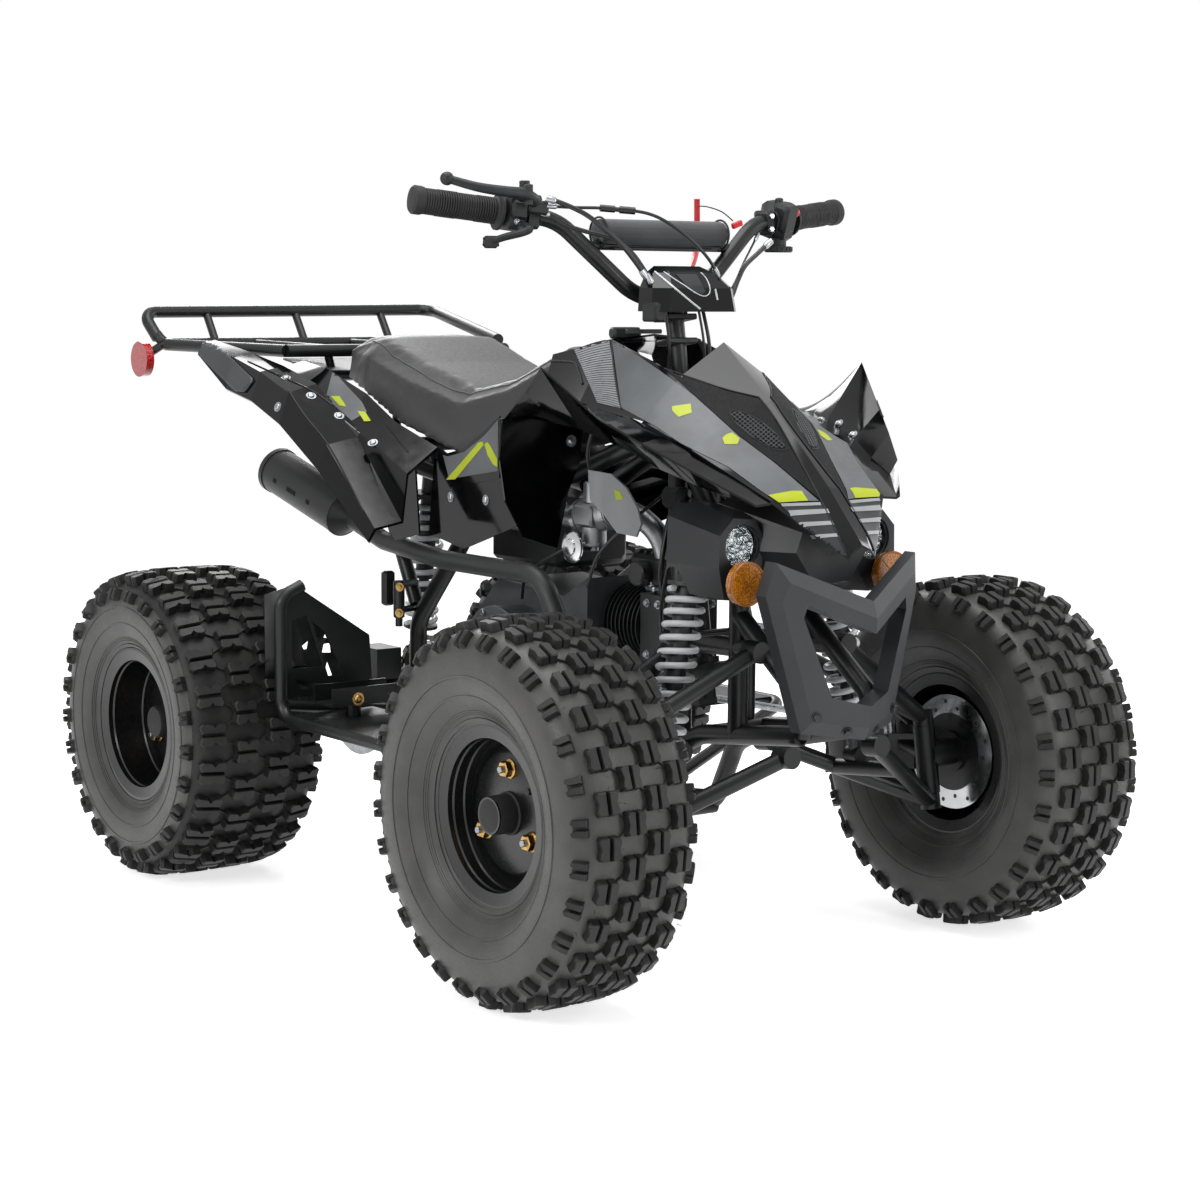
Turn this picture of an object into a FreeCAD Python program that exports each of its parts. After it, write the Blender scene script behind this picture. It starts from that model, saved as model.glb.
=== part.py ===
import FreeCAD, Part
import math
import os
import Sketcher
from FreeCAD import Placement, Rotation, Vector

# Youth sport quad bike. +X forward, +Y to the rider's left, +Z up, millimetres.
# The origin lies on the ground under the middle of the machine's length.

doc = FreeCAD.newDocument("quad_bike")
sheet = doc.addObject("Spreadsheet::Sheet", "Sizes")

sizes = {
    # body grid and running gear
    "wheelbase": 900, "front_track": 760, "rear_track": 734, "body_height": 1000,
    "front_reach": 691.5, "rear_reach": 782,
    # tyres and rims
    "front_tyre_radius": 241.5, "front_tyre_width": 178,
    "rear_tyre_radius": 228.5, "rear_tyre_width": 241,
    "rim_lip_radius": 113, "rim_barrel_radius": 98, "rim_wall": 3.5, "rim_flange": 3,
    "front_rim_width": 120, "rear_rim_width": 180, "seat_gap": 0.3,
    "front_lug_height": 12, "rear_lug_height": 14,
    "hub_radius": 28, "hub_inboard": 48, "stud_circle_radius": 55, "nut_radius": 9, "nut_height": 12,
    "hub_cap_radius": 23, "disc_plate_radius": 78, "disc_plate_wall": 4, "rim_dish_depth": 40,
    "rim_face_wall": 4, "rear_dish_depth": 72,
    # steering
    "steering_rake": 9, "column_radius": 12, "column_top": 848, "column_foot": 330,
    "column_axis_x": 250, "column_axis_z": 815, "pitman_length": 80, "pitman_wall": 8,
    "kingpin_inset": 92, "kingpin_radius": 15, "shoulder_radius": 18, "kingpin_rise": 40,
    "kingpin_drop": 52, "spindle_radius": 10,
    "arm_cup_radius": 14, "arm_cup_height": 22, "steer_arm_rise": 30, "steer_arm_wall": 8,
    "tie_rod_radius": 5, "rod_eye_radius": 9, "rod_pin_y": 11, "running_gap": 0.3,
    "caliper_length": 62, "caliper_width": 34, "caliper_height": 44,
    # bars
    "bar_radius": 11, "crossbar_radius": 6, "bar_bend_radius": 80, "grip_radius": 16.5,
    "grip_length": 118, "grip_flange_radius": 24, "grip_flange_wall": 4,
    "pad_radius": 20, "pad_length": 215, "pad_rise": 17,
    # frame
    "frame_tube_radius": 13, "rear_tube_radius": 11, "frame_bend_radius": 60,
    "headstock_radius": 20, "headstock_length": 60, "arm_tube_radius": 11, "arm_sleeve_radius": 14,
    "shock_spring_radius": 22.5, "spring_wire_radius": 4.2, "shock_body_radius": 14, "shock_eye_radius": 12,
    "shock_eye_width": 24, "shock_shaft_radius": 8, "seat_wall": 5,
    "pivot_radius": 9,
    # rack
    "rack_tube_radius": 9.5, "rack_post_radius": 6.5, "rack_bend_radius": 25,
    # panels
    "panel_wall": 3, "bumper_depth": 28, "bumper_bevel": 9,
    "lamp_radius": 27, "lamp_depth": 45, "lamp_pod_radius": 35, "lamp_gap": 1,
    "amber_radius": 28, "amber_wall": 9, "red_radius": 28, "red_wall": 13,
    # engine and exhaust
    "case_half_width": 75, "cover_radius": 78, "cover_wall": 45, "fin_wall": 2.5, "fin_pitch": 9,
    "fin_radius": 52, "barrel_radius": 36, "head_half": 46, "exhaust_radius": 14, "manifold_radius": 15,
    "muffler_radius": 35, "muffler_cap": 18, "filter_radius": 22, "filter_wall": 14,
    # rear axle
    "axle_radius": 15, "sprocket_radius": 84, "sprocket_wall": 6, "sprocket_y": 62,
    "rear_disc_radius": 84, "rear_disc_wall": 4, "rear_disc_y": -72, "carrier_radius": 34,
    "carrier_length": 84, "chain_width": 12, "chain_depth": 9, "chain_pitch": 26, "chain_gap": 1.2,
    "roller_width": 7, "drive_sprocket_radius": 30,
    # foot rests
    "guard_wall": 3, "guard_tube_radius": 9, "peg_width": 52, "peg_height": 26, "peg_wall": 3,
}

for row, (alias, number) in enumerate(sizes.items(), start=1):
    sheet.set("A%d" % row, alias)
    sheet.set("B%d" % row, str(number))
    sheet.setAlias("B%d" % row, alias)
doc.recompute()


class Size(float):
    # a length that also carries the sheet formula it was worked out by
    def __new__(cls, number, text):
        made = super().__new__(cls, number)
        made.text = text
        return made

    def joined(self, other, sign, number):
        other_text = other.text if isinstance(other, Size) else repr(float(other))
        return Size(number, "(%s %s %s)" % (self.text, sign, other_text))

    def __add__(self, other):
        return self.joined(other, "+", float(self) + float(other))

    def __sub__(self, other):
        return self.joined(other, "-", float(self) - float(other))

    def __mul__(self, other):
        return self.joined(other, "*", float(self) * float(other))

    def __truediv__(self, other):
        return self.joined(other, "/", float(self) / float(other))

    def __neg__(self):
        return Size(-float(self), "(0 - %s)" % self.text)


class Sheet:
    def __getattr__(self, alias):
        return Size(float(sheet.get(alias)), "Sizes.%s" % alias)


S = Sheet()
ZERO = Size(0.0, "0")
X_AXIS, Y_AXIS, Z_AXIS = Vector(1, 0, 0), Vector(0, 1, 0), Vector(0, 0, 1)
nodes = []

# The body grid: one unit is a ninetieth of the wheelbase along, a seventy-sixth of the front
# track across and a hundredth of the body height up. Every table of grid places is in shares.
grid_x_share, grid_y_share, grid_z_share = 1 / 90, 1 / 76, 1 / 100
station = S.wheelbase * grid_x_share
buttock = S.front_track * grid_y_share
waterline = S.body_height * grid_z_share
middle = Vector((S.rear_reach - S.front_reach) / 2, 0, 0)
rake = math.radians(S.steering_rake)
steer_axis = Vector(-math.sin(rake), 0, math.cos(rake))
steer_ahead = Vector(math.cos(rake), 0, math.sin(rake))


def grid(place_shares):
    along, across, up = place_shares
    return Vector(along * station, across * buttock, up * waterline)


def grids(table_shares):
    return [grid(place) for place in table_shares]


def keep(item):
    # a finished sub-part, set from the mid-wheelbase frame into the machine's frame
    item.Placement = Placement(middle, Rotation()).multiply(item.Placement)
    nodes.append(item)
    return item


def feature(label, shape):
    item = doc.addObject("Part::Feature", label)
    item.Label = label
    item.Shape = shape
    return keep(item)


def flipped(shape):
    return shape.mirror(Vector(0, 0, 0), Y_AXIS)


def joined(shapes):
    first, rest = shapes[0], shapes[1:]
    return first.multiFuse(rest).removeSplitter() if rest else first


def both_sides(shape):
    return Part.makeCompound([flipped(shape), shape])


def rod(start, end, radius):
    along = end - start
    return Part.makeCylinder(radius, along.Length, start, along)


def centred_rod(centre, axis, length, radius):
    way = Vector(axis).normalize()
    return Part.makeCylinder(radius, length, centre - way * (length / 2), way)


def rounded_path(points, bend_radius):
    # straight runs joined by tangent arcs, each arc no larger than its runs allow
    edges = []
    here = points[0]
    for before, corner, after in zip(points, points[1:], points[2:]):
        inward = (before - corner).normalize()
        outward = (after - corner).normalize()
        half = inward.getAngle(outward) / 2
        run_share = 0.45
        room = run_share * min((before - corner).Length, (after - corner).Length)
        reach = min(bend_radius / math.tan(half), room)
        start, end = corner + inward * reach, corner + outward * reach
        turn = reach * math.tan(half)
        bisector = (inward + outward).normalize()
        centre = corner + bisector * (reach / math.cos(half))
        middle_point = centre - bisector * turn
        edges.append(Part.LineSegment(here, start).toShape())
        edges.append(Part.Arc(start, middle_point, end).toShape())
        here = end
    edges.append(Part.LineSegment(here, points[-1]).toShape())
    return Part.Wire(edges)


def bent_tube(points, radius, bend_radius):
    path = rounded_path(points, bend_radius)
    start_way = points[1] - points[0]
    ring = Part.Wire(Part.Circle(points[0], start_way, radius).toShape())
    return path.makePipeShell([ring], True, False)


def ring_of(points):
    return Part.makePolygon(list(points) + [points[0]])


def lofted(sections, ruled=True):
    return Part.makeLoft([ring_of(section) for section in sections], True, ruled)


def strip(line, drop):
    # the closed thin section of an open line of points, thickened by one push
    return list(line) + [point + drop for point in reversed(line)]


def slab(points, push):
    # a flat outline pushed along one direction
    return Part.Face(ring_of(points)).extrude(push)


def sketch_on(body, name, role):
    sketch = body.newObject("Sketcher::SketchObject", name)
    plane = [item for item in body.Origin.OriginFeatures if item.Role == role][0]
    sketch.AttachmentSupport = [(plane, "")]
    sketch.MapMode = "FlatFace"
    return sketch


def bind_place(sketch, geometry, vertex, across, up):
    for kind, line, number in (("DistanceX", -2, across), ("DistanceY", -1, up)):
        if float(number) == 0:
            sketch.addConstraint(Sketcher.Constraint("PointOnObject", geometry, vertex, line))
        else:
            index = sketch.addConstraint(
                Sketcher.Constraint(kind, -1, 1, geometry, vertex, float(number)))
            sketch.setExpression("Constraints[%d]" % index, number.text)


def draw_outline(sketch, corners):
    first = sketch.GeometryCount
    count = len(corners)
    for index in range(count):
        start, end = corners[index], corners[(index + 1) % count]
        line = Part.LineSegment(Vector(start[0], start[1], 0), Vector(end[0], end[1], 0))
        sketch.addGeometry(line, False)
    for index in range(count):
        following = first + (index + 1) % count
        sketch.addConstraint(Sketcher.Constraint("Coincident", first + index, 2, following, 1))
    for index, (across, up) in enumerate(corners):
        bind_place(sketch, first + index, 1, across, up)


def draw_circle(sketch, across, up, radius):
    index = sketch.addGeometry(Part.Circle(Vector(across, up, 0), Z_AXIS, radius), False)
    bind_place(sketch, index, 3, across, up)
    made = sketch.addConstraint(Sketcher.Constraint("Radius", index, float(radius)))
    sketch.setExpression("Constraints[%d]" % made, radius.text)


def turned(label, corners):
    # a body of revolution about Y, from an outline of (axial place, radius)
    body = doc.addObject("PartDesign::Body", label)
    body.Label = label
    sketch = sketch_on(body, label + "_outline", "YZ_Plane")
    draw_outline(sketch, corners)
    turn = body.newObject("PartDesign::Revolution", label + "_turn")
    turn.Profile = sketch
    turn.ReferenceAxis = (sketch, ["H_Axis"])
    turn.Angle = 360
    body.Tip = turn
    sketch.Visibility = False
    return body


def rest_at(item, place, rotation=None):
    item.Placement = Placement(place, rotation or Rotation())
    return keep(item)


outward_left = Rotation()
outward_right = Rotation(Z_AXIS, 180)
front_centre = Vector(S.wheelbase / 2, S.front_track / 2, S.front_tyre_radius)
rear_centre = Vector(-S.wheelbase / 2, S.rear_track / 2, S.rear_tyre_radius)


def mirrored_place(place):
    return Vector(place.x, -place.y, place.z)


# Half outline of a tyre from the middle groove out, as shares of half its width and of its radius
tread_shares = ((0.07, 1.0), (0.80, 0.968))
side_shares = ((0.97, 0.80), (0.97, 0.62))
front_pitches, rear_pitches = 28, 24


def wheel_ring(across, radius, facets, turn_share):
    # one ring of corners about Y, set out so that the flats between them touch the radius
    corners = []
    for index in range(facets):
        angle = math.radians(360 / facets * (index + turn_share) - 90)
        reach = radius / math.cos(math.pi / facets)
        corners.append(Vector(reach * math.cos(angle), across, reach * math.sin(angle)))
    return corners


def polygon(*corners):
    return Part.Face(ring_of(corners))


def lug_block(low, high, here, after):
    # top, two flanks and two ends of one lug between two rings of carcass and lug corners
    (inner, outer), (inner_top, outer_top) = low, high
    return [polygon(inner_top[here], inner_top[after], outer_top[after], outer_top[here]),
            polygon(inner[here], outer[here], outer_top[here], inner_top[here]),
            polygon(inner[after], inner_top[after], outer_top[after], outer[after]),
            polygon(inner[here], inner_top[here], inner_top[after], inner[after]),
            polygon(outer[here], outer[after], outer_top[after], outer_top[here])]


def tyre_side(side, radius, half, lug_height, pitches, bead):
    # the lugs, shoulder, wall and bead on one side of the middle groove
    columns = pitches * 2
    low = [wheel_ring(side * half * across, radius * up - lug_height, columns, -0.5)
           for across, up in tread_shares]
    high = [wheel_ring(side * half * across, radius * up, columns, -0.5) for across, up in tread_shares]
    faces = []
    for here in range(columns):
        after = (here + 1) % columns
        if (here % 2 == 0) == (side < 0):
            faces += lug_block(low, high, here, after)
        else:
            faces.append(polygon(low[0][here], low[0][after], low[1][after], low[1][here]))
    rings = [wheel_ring(side * half * across, radius * up, pitches, -0.25) for across, up in side_shares]
    rings += [wheel_ring(side * across, up, pitches, -0.25) for across, up in bead]
    shoulder, wall = low[1], rings[0]
    for here in range(pitches):
        after = (here + 1) % pitches
        start, half_way, end = here * 2, here * 2 + 1, (here * 2 + 2) % columns
        faces += [polygon(shoulder[start], shoulder[half_way], wall[here]),
                  polygon(shoulder[half_way], wall[after], wall[here]),
                  polygon(shoulder[half_way], shoulder[end], wall[after])]
        for near, far in zip(rings, rings[1:]):
            faces.append(polygon(near[here], near[after], far[after], far[here]))
    return faces, low[0], rings[-1]


def closed_solid(faces):
    shell = Part.makeShell(faces)
    shell.sewShape()
    solid = Part.makeSolid(shell)
    if solid.Volume < 0:
        solid.reverse()
    return solid


def tyre(label, radius, width, rim_width, lug_height, pitches, place, rotation):
    bead_width = rim_width / 2 - S.rim_flange - S.seat_gap
    bead = [(rim_width / 2 + S.rim_flange, S.rim_lip_radius + S.rim_flange),
            (bead_width, S.rim_lip_radius + S.rim_flange),
            (bead_width - S.rim_wall, S.rim_barrel_radius + S.seat_gap)]
    right, right_groove, right_bead = tyre_side(-1, radius, width / 2, lug_height, pitches, bead)
    left, left_groove, left_bead = tyre_side(1, radius, width / 2, lug_height, pitches, bead)
    faces = right + left
    for first, second in ((right_groove, left_groove), (right_bead, left_bead)):
        for here in range(len(first)):
            after = (here + 1) % len(first)
            faces.append(polygon(first[here], first[after], second[after], second[here]))
    item = doc.addObject("Part::Feature", label)
    item.Label = label
    item.Shape = closed_solid(faces)
    return rest_at(item, place, rotation)


def rim_outline(rim_width, dish_depth, inboard, bore, bore_end, brake_disc):
    edge = rim_width / 2
    flange = edge - S.rim_flange
    barrel = S.rim_barrel_radius
    inside = barrel - S.rim_wall
    lip = S.rim_lip_radius
    face = edge - dish_depth
    back = face - S.rim_face_wall
    hub = S.hub_radius
    cap_end = face + S.rim_dish_depth
    corners = [(-inboard, bore), (-inboard, hub)]
    if brake_disc:
        disc_back = -inboard + S.disc_plate_wall
        disc_front = disc_back + S.disc_plate_wall
        corners += [(disc_back, hub), (disc_back, S.disc_plate_radius),
                    (disc_front, S.disc_plate_radius), (disc_front, hub)]
    corners += [(back, hub), (back, inside),
                (-flange, inside), (-edge, lip - S.rim_wall), (-edge, lip), (-flange, lip),
                (-flange + S.rim_wall, barrel), (flange - S.rim_wall, barrel),
                (flange, lip), (edge, lip), (edge, lip - S.rim_wall), (flange, inside),
                (face, inside), (face, S.hub_cap_radius), (cap_end, S.hub_cap_radius),
                (cap_end, ZERO), (bore_end, ZERO), (bore_end, bore)]
    return corners


def wheel_nuts(body, face):
    sketch = sketch_on(body, body.Label + "_nut", "XZ_Plane")
    draw_circle(sketch, ZERO, S.stud_circle_radius, S.nut_radius)
    nut = body.newObject("PartDesign::Pad", body.Label + "_nut_pad")
    nut.Profile = sketch
    nut.setExpression("Length", (face + S.nut_height).text)
    nut.Reversed = True
    pattern = body.newObject("PartDesign::PolarPattern", body.Label + "_nuts")
    pattern.Originals = [nut]
    pattern.Axis = (sketch, ["N_Axis"])
    pattern.Angle = 360
    pattern.Occurrences = 3
    body.Tip = pattern
    sketch.Visibility = False


def front_rim(label, place, rotation):
    bore = S.spindle_radius + S.running_gap
    face = S.front_rim_width / 2 - S.rim_dish_depth
    outline = rim_outline(S.front_rim_width, S.rim_dish_depth, S.hub_inboard, bore,
                          face - S.rim_face_wall, True)
    body = turned(label, outline)
    wheel_nuts(body, face)
    return rest_at(body, place, rotation)


def rear_rim(label, place, rotation):
    bore = S.axle_radius + S.seat_gap
    face = S.rear_rim_width / 2 - S.rear_dish_depth
    outline = rim_outline(S.rear_rim_width, S.rear_dish_depth, S.hub_inboard, bore,
                          face - S.rim_face_wall, False)
    body = turned(label, outline)
    wheel_nuts(body, face)
    return rest_at(body, place, rotation)


for side, turn in (("left", outward_left), ("right", outward_right)):
    front_place = front_centre if side == "left" else mirrored_place(front_centre)
    rear_place = rear_centre if side == "left" else mirrored_place(rear_centre)
    tyre("tyre_front_" + side, S.front_tyre_radius, S.front_tyre_width, S.front_rim_width,
         S.front_lug_height, front_pitches, front_place, turn)
    front_rim("rim_front_" + side, front_place, turn)
    tyre("tyre_rear_" + side, S.rear_tyre_radius, S.rear_tyre_width, S.rear_rim_width,
         S.rear_lug_height, rear_pitches, rear_place, turn)
    rear_rim("rim_rear_" + side, rear_place, turn)


def rear_axle():
    # solid axle with its sprocket on the left and its brake disc on the right
    half = S.rear_track / 2 + S.rear_rim_width / 2 - S.rear_dish_depth - S.rim_face_wall - S.seat_gap
    wall = S.sprocket_wall / 2
    shoulder_radius_share = 1.5
    boss = S.axle_radius * shoulder_radius_share
    disc_low = S.rear_disc_y - S.rear_disc_wall / 2
    disc_high = S.rear_disc_y + S.rear_disc_wall / 2
    stop = S.rear_track / 2 - S.hub_inboard - S.seat_gap
    corners = [(-half, ZERO), (-half, S.axle_radius), (-stop, S.axle_radius), (-stop, boss), (disc_low, boss),
               (disc_low, S.rear_disc_radius), (disc_high, S.rear_disc_radius), (disc_high, boss),
               (-S.carrier_length / 2 - S.sprocket_wall, boss),
               (-S.carrier_length / 2 - S.sprocket_wall, S.axle_radius),
               (S.sprocket_y - S.sprocket_wall - wall, S.axle_radius),
               (S.sprocket_y - S.sprocket_wall - wall, boss),
               (S.sprocket_y - wall, boss), (S.sprocket_y - wall, S.sprocket_radius),
               (S.sprocket_y + wall, S.sprocket_radius), (S.sprocket_y + wall, boss), (stop, boss),
               (stop, S.axle_radius), (half, S.axle_radius), (half, ZERO)]
    body = turned("rear_axle", corners)
    return rest_at(body, Vector(rear_centre.x, 0, rear_centre.z))


rear_axle()


# Frame

lower_rail_shares = ((58, 5.5, 32), (38.5, 5.5, 29.5), (31, 6.5, 26), (24, 8.5, 16), (-13, 9, 16), (-25, 9, 30))
pillar_shares = ((-25, 9, 30), (-24, 9.5, 38), (-13, 9.5, 50), (-8, 9.5, 56))
seat_rail_shares = ((-8, 9.5, 56), (4, 6, 60), (26.5, 1.5, 69))
upright_shares = ((45.5, 5.5, 30), (45.5, 5.5, 49), (41, 5, 56), (27.5, 1.5, 68))
upper_rail_shares = ((51, 5.5, 42), (34, 5.5, 41.4))
down_tube_shares = ((34, 5.5, 28), (34, 5.5, 41.4), (30, 3.5, 60), (27.8, 1.5, 66.5))
nose_rail_shares = ((58, 5.5, 32), (59, 5.5, 36), (45.5, 5.5, 46))
cross_shares = ((58, 32), (38, 29.4), (24, 16), (-13, 16), (-25, 30), (45.5, 49), (34, 41.4))


def steering_point(height):
    fall = (height - S.column_axis_z) / math.cos(rake)
    return Vector(S.column_axis_x, 0, S.column_axis_z) + steer_axis * fall


def frame():
    tubes = []
    for table_shares in (lower_rail_shares, pillar_shares, seat_rail_shares, upright_shares,
                         upper_rail_shares, down_tube_shares, nose_rail_shares):
        side = bent_tube(grids(table_shares), S.frame_tube_radius, S.frame_bend_radius)
        tubes += [side, flipped(side)]
    rail_y_shares = (5.5, 5.5, 8.5, 9, 9, 5.5, 5.5)
    for (along, up), across in zip(cross_shares, rail_y_shares):
        tubes.append(rod(grid((along, -across, up)), grid((along, across, up)), S.rear_tube_radius))
    head_z_share, foot_z_share = 67.5, 37
    tubes.append(rod(grid((42.4, -9.9, 56)), grid((42.4, 9.9, 56)), S.rear_tube_radius))
    for across in (-5, 5):
        tubes.append(rod(grid((41, across, 56)), grid((41, across, 73.05)), S.rack_post_radius))
    for z_share, length in ((head_z_share, S.headstock_length), (foot_z_share, S.headstock_length / 2)):
        tubes.append(centred_rod(steering_point(z_share * waterline), steer_axis, length, S.headstock_radius))
    tubes.append(rod(grid((34, -5.5, foot_z_share)), grid((34, 5.5, foot_z_share)), S.rear_tube_radius))
    body = joined(tubes)
    bore = centred_rod(steering_point(S.column_axis_z), steer_axis, S.body_height, S.column_radius + S.running_gap)
    return body.cut(bore)


feature("frame", frame())

subframe_rail_shares = ((-8, 9.5, 58.6), (-28, 9.5, 61.5), (-44, 9.5, 67), (-62, 9.5, 73.5))
subframe_strut_shares = ((-24.5, 9.5, 40.5), (-37, 9.5, 63.5))
subframe_post_shares = ((-59.5, 72.5, 75.7), (-30, 61.8, 71.2), (-12, 58.6, 64.6))


def rear_subframe():
    parts = []
    for table_shares in (subframe_rail_shares, subframe_strut_shares):
        side = bent_tube(grids(table_shares), S.rear_tube_radius, S.frame_bend_radius)
        parts += [side, flipped(side)]
    for along, low, high in subframe_post_shares:
        for across in (-9.5, 9.5):
            parts.append(rod(grid((along, across, low)), grid((along, across, high)), S.rack_post_radius))
    cross_x_shares = ((-35, 63.5), (-61.5, 73.3))
    for along, up in cross_x_shares:
        parts.append(rod(grid((along, -9.5, up)), grid((along, 9.5, up)), S.rear_tube_radius))
    return joined(parts)


rear_frame_solid = rear_subframe().cut(nodes[-1].Shape.translated(-middle))
feature("rear_subframe", rear_frame_solid)


# Front suspension: wishbones that slope down to the knuckles, coil shocks between them

wheel_z = S.front_tyre_radius
kingpin_centre = Vector(S.wheelbase / 2, S.front_track / 2 - S.kingpin_inset, wheel_z)
cup_offset = S.running_gap + S.arm_cup_height / 2
upper_cup = kingpin_centre + steer_axis * (S.kingpin_rise + cup_offset)
lower_cup = kingpin_centre - steer_axis * (S.kingpin_drop + cup_offset)
upper_pivot_shares = ((51, 7.4, 42), (34.5, 7.6, 41.4))
lower_pivot_shares = ((57.5, 7.6, 29.4), (36, 7.6, 27))
arm_brace_share = 0.42


def wishbone(pivots, cup):
    legs = [rod(pivot, cup, S.arm_tube_radius) for pivot in pivots]
    sleeves = [centred_rod(pivot, pivots[0] - pivots[1], S.peg_width / 2, S.arm_sleeve_radius) for pivot in pivots]
    first, second = [pivot + (cup - pivot) * arm_brace_share for pivot in pivots]
    brace = rod(first, second, S.arm_tube_radius)
    end = centred_rod(cup, steer_axis, S.arm_cup_height, S.arm_cup_radius)
    return joined(legs + sleeves + [brace, end])


shock_top = grid((43.2, 11, 56))
shock_foot = grid((43.6, 16.9, 25.2))


def lower_wishbone():
    pivots = grids(lower_pivot_shares)
    arm = wishbone(pivots, lower_cup)
    return arm


def upper_wishbone():
    pivots = grids(upper_pivot_shares)
    legs = [rod(pivot, upper_cup, S.arm_tube_radius) for pivot in pivots]
    sleeves = [centred_rod(pivot, X_AXIS, S.peg_width / 2, S.arm_sleeve_radius) for pivot in pivots]
    end = centred_rod(upper_cup, steer_axis, S.arm_cup_height, S.arm_cup_radius)
    return joined(legs + sleeves + [end])


cup_clear = rod(kingpin_centre - steer_axis * (S.kingpin_drop + S.running_gap),
                kingpin_centre + steer_axis * (S.kingpin_rise + S.running_gap), S.arm_cup_radius * 2)
frame_solid = nodes[-2].Shape.translated(-middle)
arms_left = [upper_wishbone().cut(cup_clear), lower_wishbone().cut(cup_clear)]
arms_left = [arm.cut(frame_solid) for arm in arms_left]
feature("a_arms", Part.makeCompound(arms_left + [flipped(arm) for arm in arms_left]))


spring_start_share, spring_end_share, shaft_share = 0.2, 0.86, 0.42
spring_turns, turn_steps, wire_sides = 12, 10, 5


def shock(top, foot):
    # damper body above, thinner shaft below, and a seat at each end of the spring
    way = (foot - top).normalize()
    length = (foot - top).Length
    start, end = top + way * (length * spring_start_share), top + way * (length * spring_end_share)
    seat_radius = S.shock_spring_radius + S.spring_wire_radius
    seats = [Part.makeCylinder(seat_radius, S.seat_wall, start, way * -1),
             Part.makeCylinder(seat_radius, S.seat_wall, end, way)]
    body = rod(top, top + way * (length * (spring_start_share + shaft_share)), S.shock_body_radius)
    shaft = rod(top, foot, S.shock_shaft_radius)
    eyes = [centred_rod(point, X_AXIS, S.shock_eye_width, S.shock_eye_radius) for point in (top, foot)]
    return joined([body, shaft] + seats + eyes)


def coil_spring(top, foot):
    # round wire wound between the two seats, in flat facets
    way = (foot - top).normalize()
    length = (foot - top).Length
    ends = S.spring_wire_radius + S.seat_gap
    start = top + way * (length * spring_start_share + ends)
    rise = length * (spring_end_share - spring_start_share) - ends * 2
    side = way.cross(X_AXIS).normalize()
    front = way.cross(side)
    steps = spring_turns * turn_steps
    rings = []
    for step in range(steps + 1):
        angle = 2 * math.pi * step / turn_steps
        outward = side * math.cos(angle) + front * math.sin(angle)
        centre = start + way * (rise * step / steps) + outward * S.shock_spring_radius
        rings.append([centre + outward * (S.spring_wire_radius * math.cos(turn))
                      + way * (S.spring_wire_radius * math.sin(turn))
                      for turn in (2 * math.pi * index / wire_sides for index in range(wire_sides))])
    faces = [polygon(*rings[0]), polygon(*rings[-1])]
    for near, far in zip(rings, rings[1:]):
        for here in range(wire_sides):
            after = (here + 1) % wire_sides
            faces += [polygon(near[here], near[after], far[after]), polygon(near[here], far[after], far[here])]
    return closed_solid(faces)


front_shock = shock(shock_top, shock_foot)
front_shock = front_shock.cut(Part.makeCompound(arms_left)).cut(frame_solid)
feature("front_shocks", both_sides(front_shock))
feature("front_springs", both_sides(coil_spring(shock_top, shock_foot)))


# Knuckles, steered about kingpins that lie parallel to the column

def knuckle():
    sleeve = rod(kingpin_centre - steer_axis * S.kingpin_drop, kingpin_centre + steer_axis * S.kingpin_rise,
                 S.kingpin_radius)
    hub_face = Vector(kingpin_centre.x, S.front_track / 2 - S.hub_inboard - S.running_gap, wheel_z)
    shoulder = rod(kingpin_centre, hub_face, S.shoulder_radius)
    face = S.front_rim_width / 2 - S.rim_dish_depth - S.rim_face_wall
    tip = Vector(kingpin_centre.x, S.front_track / 2 + face - S.running_gap, wheel_z)
    spindle = rod(kingpin_centre, tip, S.spindle_radius)
    root = kingpin_centre + steer_axis * S.steer_arm_rise
    end = root - steer_ahead * S.pitman_length + Y_AXIS * S.rod_pin_y
    inward = Vector(0, -S.kingpin_radius, 0)
    arm = slab([root + inward / 2, end + inward / 2, end - inward / 2, root - inward / 2],
               steer_axis * -S.steer_arm_wall)
    eye = Part.makeCylinder(S.rod_eye_radius, S.steer_arm_wall, end, steer_axis * -1)
    return joined([sleeve, shoulder, spindle, arm, eye])


def caliper():
    # floating caliper behind the axle, straddling the disc
    disc_y = S.front_track / 2 - S.hub_inboard + S.disc_plate_wall * 1.5
    back = Vector(kingpin_centre.x - S.disc_plate_radius, disc_y, wheel_z)
    block = Part.makeBox(S.caliper_width, S.caliper_height, S.caliper_length,
                         back - Vector(S.caliper_width / 4, S.caliper_height / 2, S.caliper_length / 2))
    slot = centred_rod(Vector(kingpin_centre.x, disc_y, wheel_z), Y_AXIS,
                       S.disc_plate_wall * 4, S.disc_plate_radius + S.disc_plate_wall * 2)
    rim_room = S.rim_barrel_radius - S.rim_wall * 2
    room = centred_rod(Vector(kingpin_centre.x, disc_y, wheel_z), Y_AXIS, S.front_track, rim_room)
    cheek_y = disc_y - S.caliper_height / 2 + S.disc_plate_wall
    bridge = rod(kingpin_centre, Vector(back.x, cheek_y, wheel_z), S.spindle_radius)
    return block.cut(slot).common(room), bridge


def knuckle_with_caliper():
    gripper, bridge = caliper()
    return joined([knuckle(), gripper, bridge])


knuckle_left = knuckle_with_caliper()
feature("knuckle_left", knuckle_left)
feature("knuckle_right", flipped(knuckle_left))


# Steering column, pitman arm and tie rods

pitman_root = steering_point(S.column_foot)
pitman_end = pitman_root - steer_ahead * S.pitman_length


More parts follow.
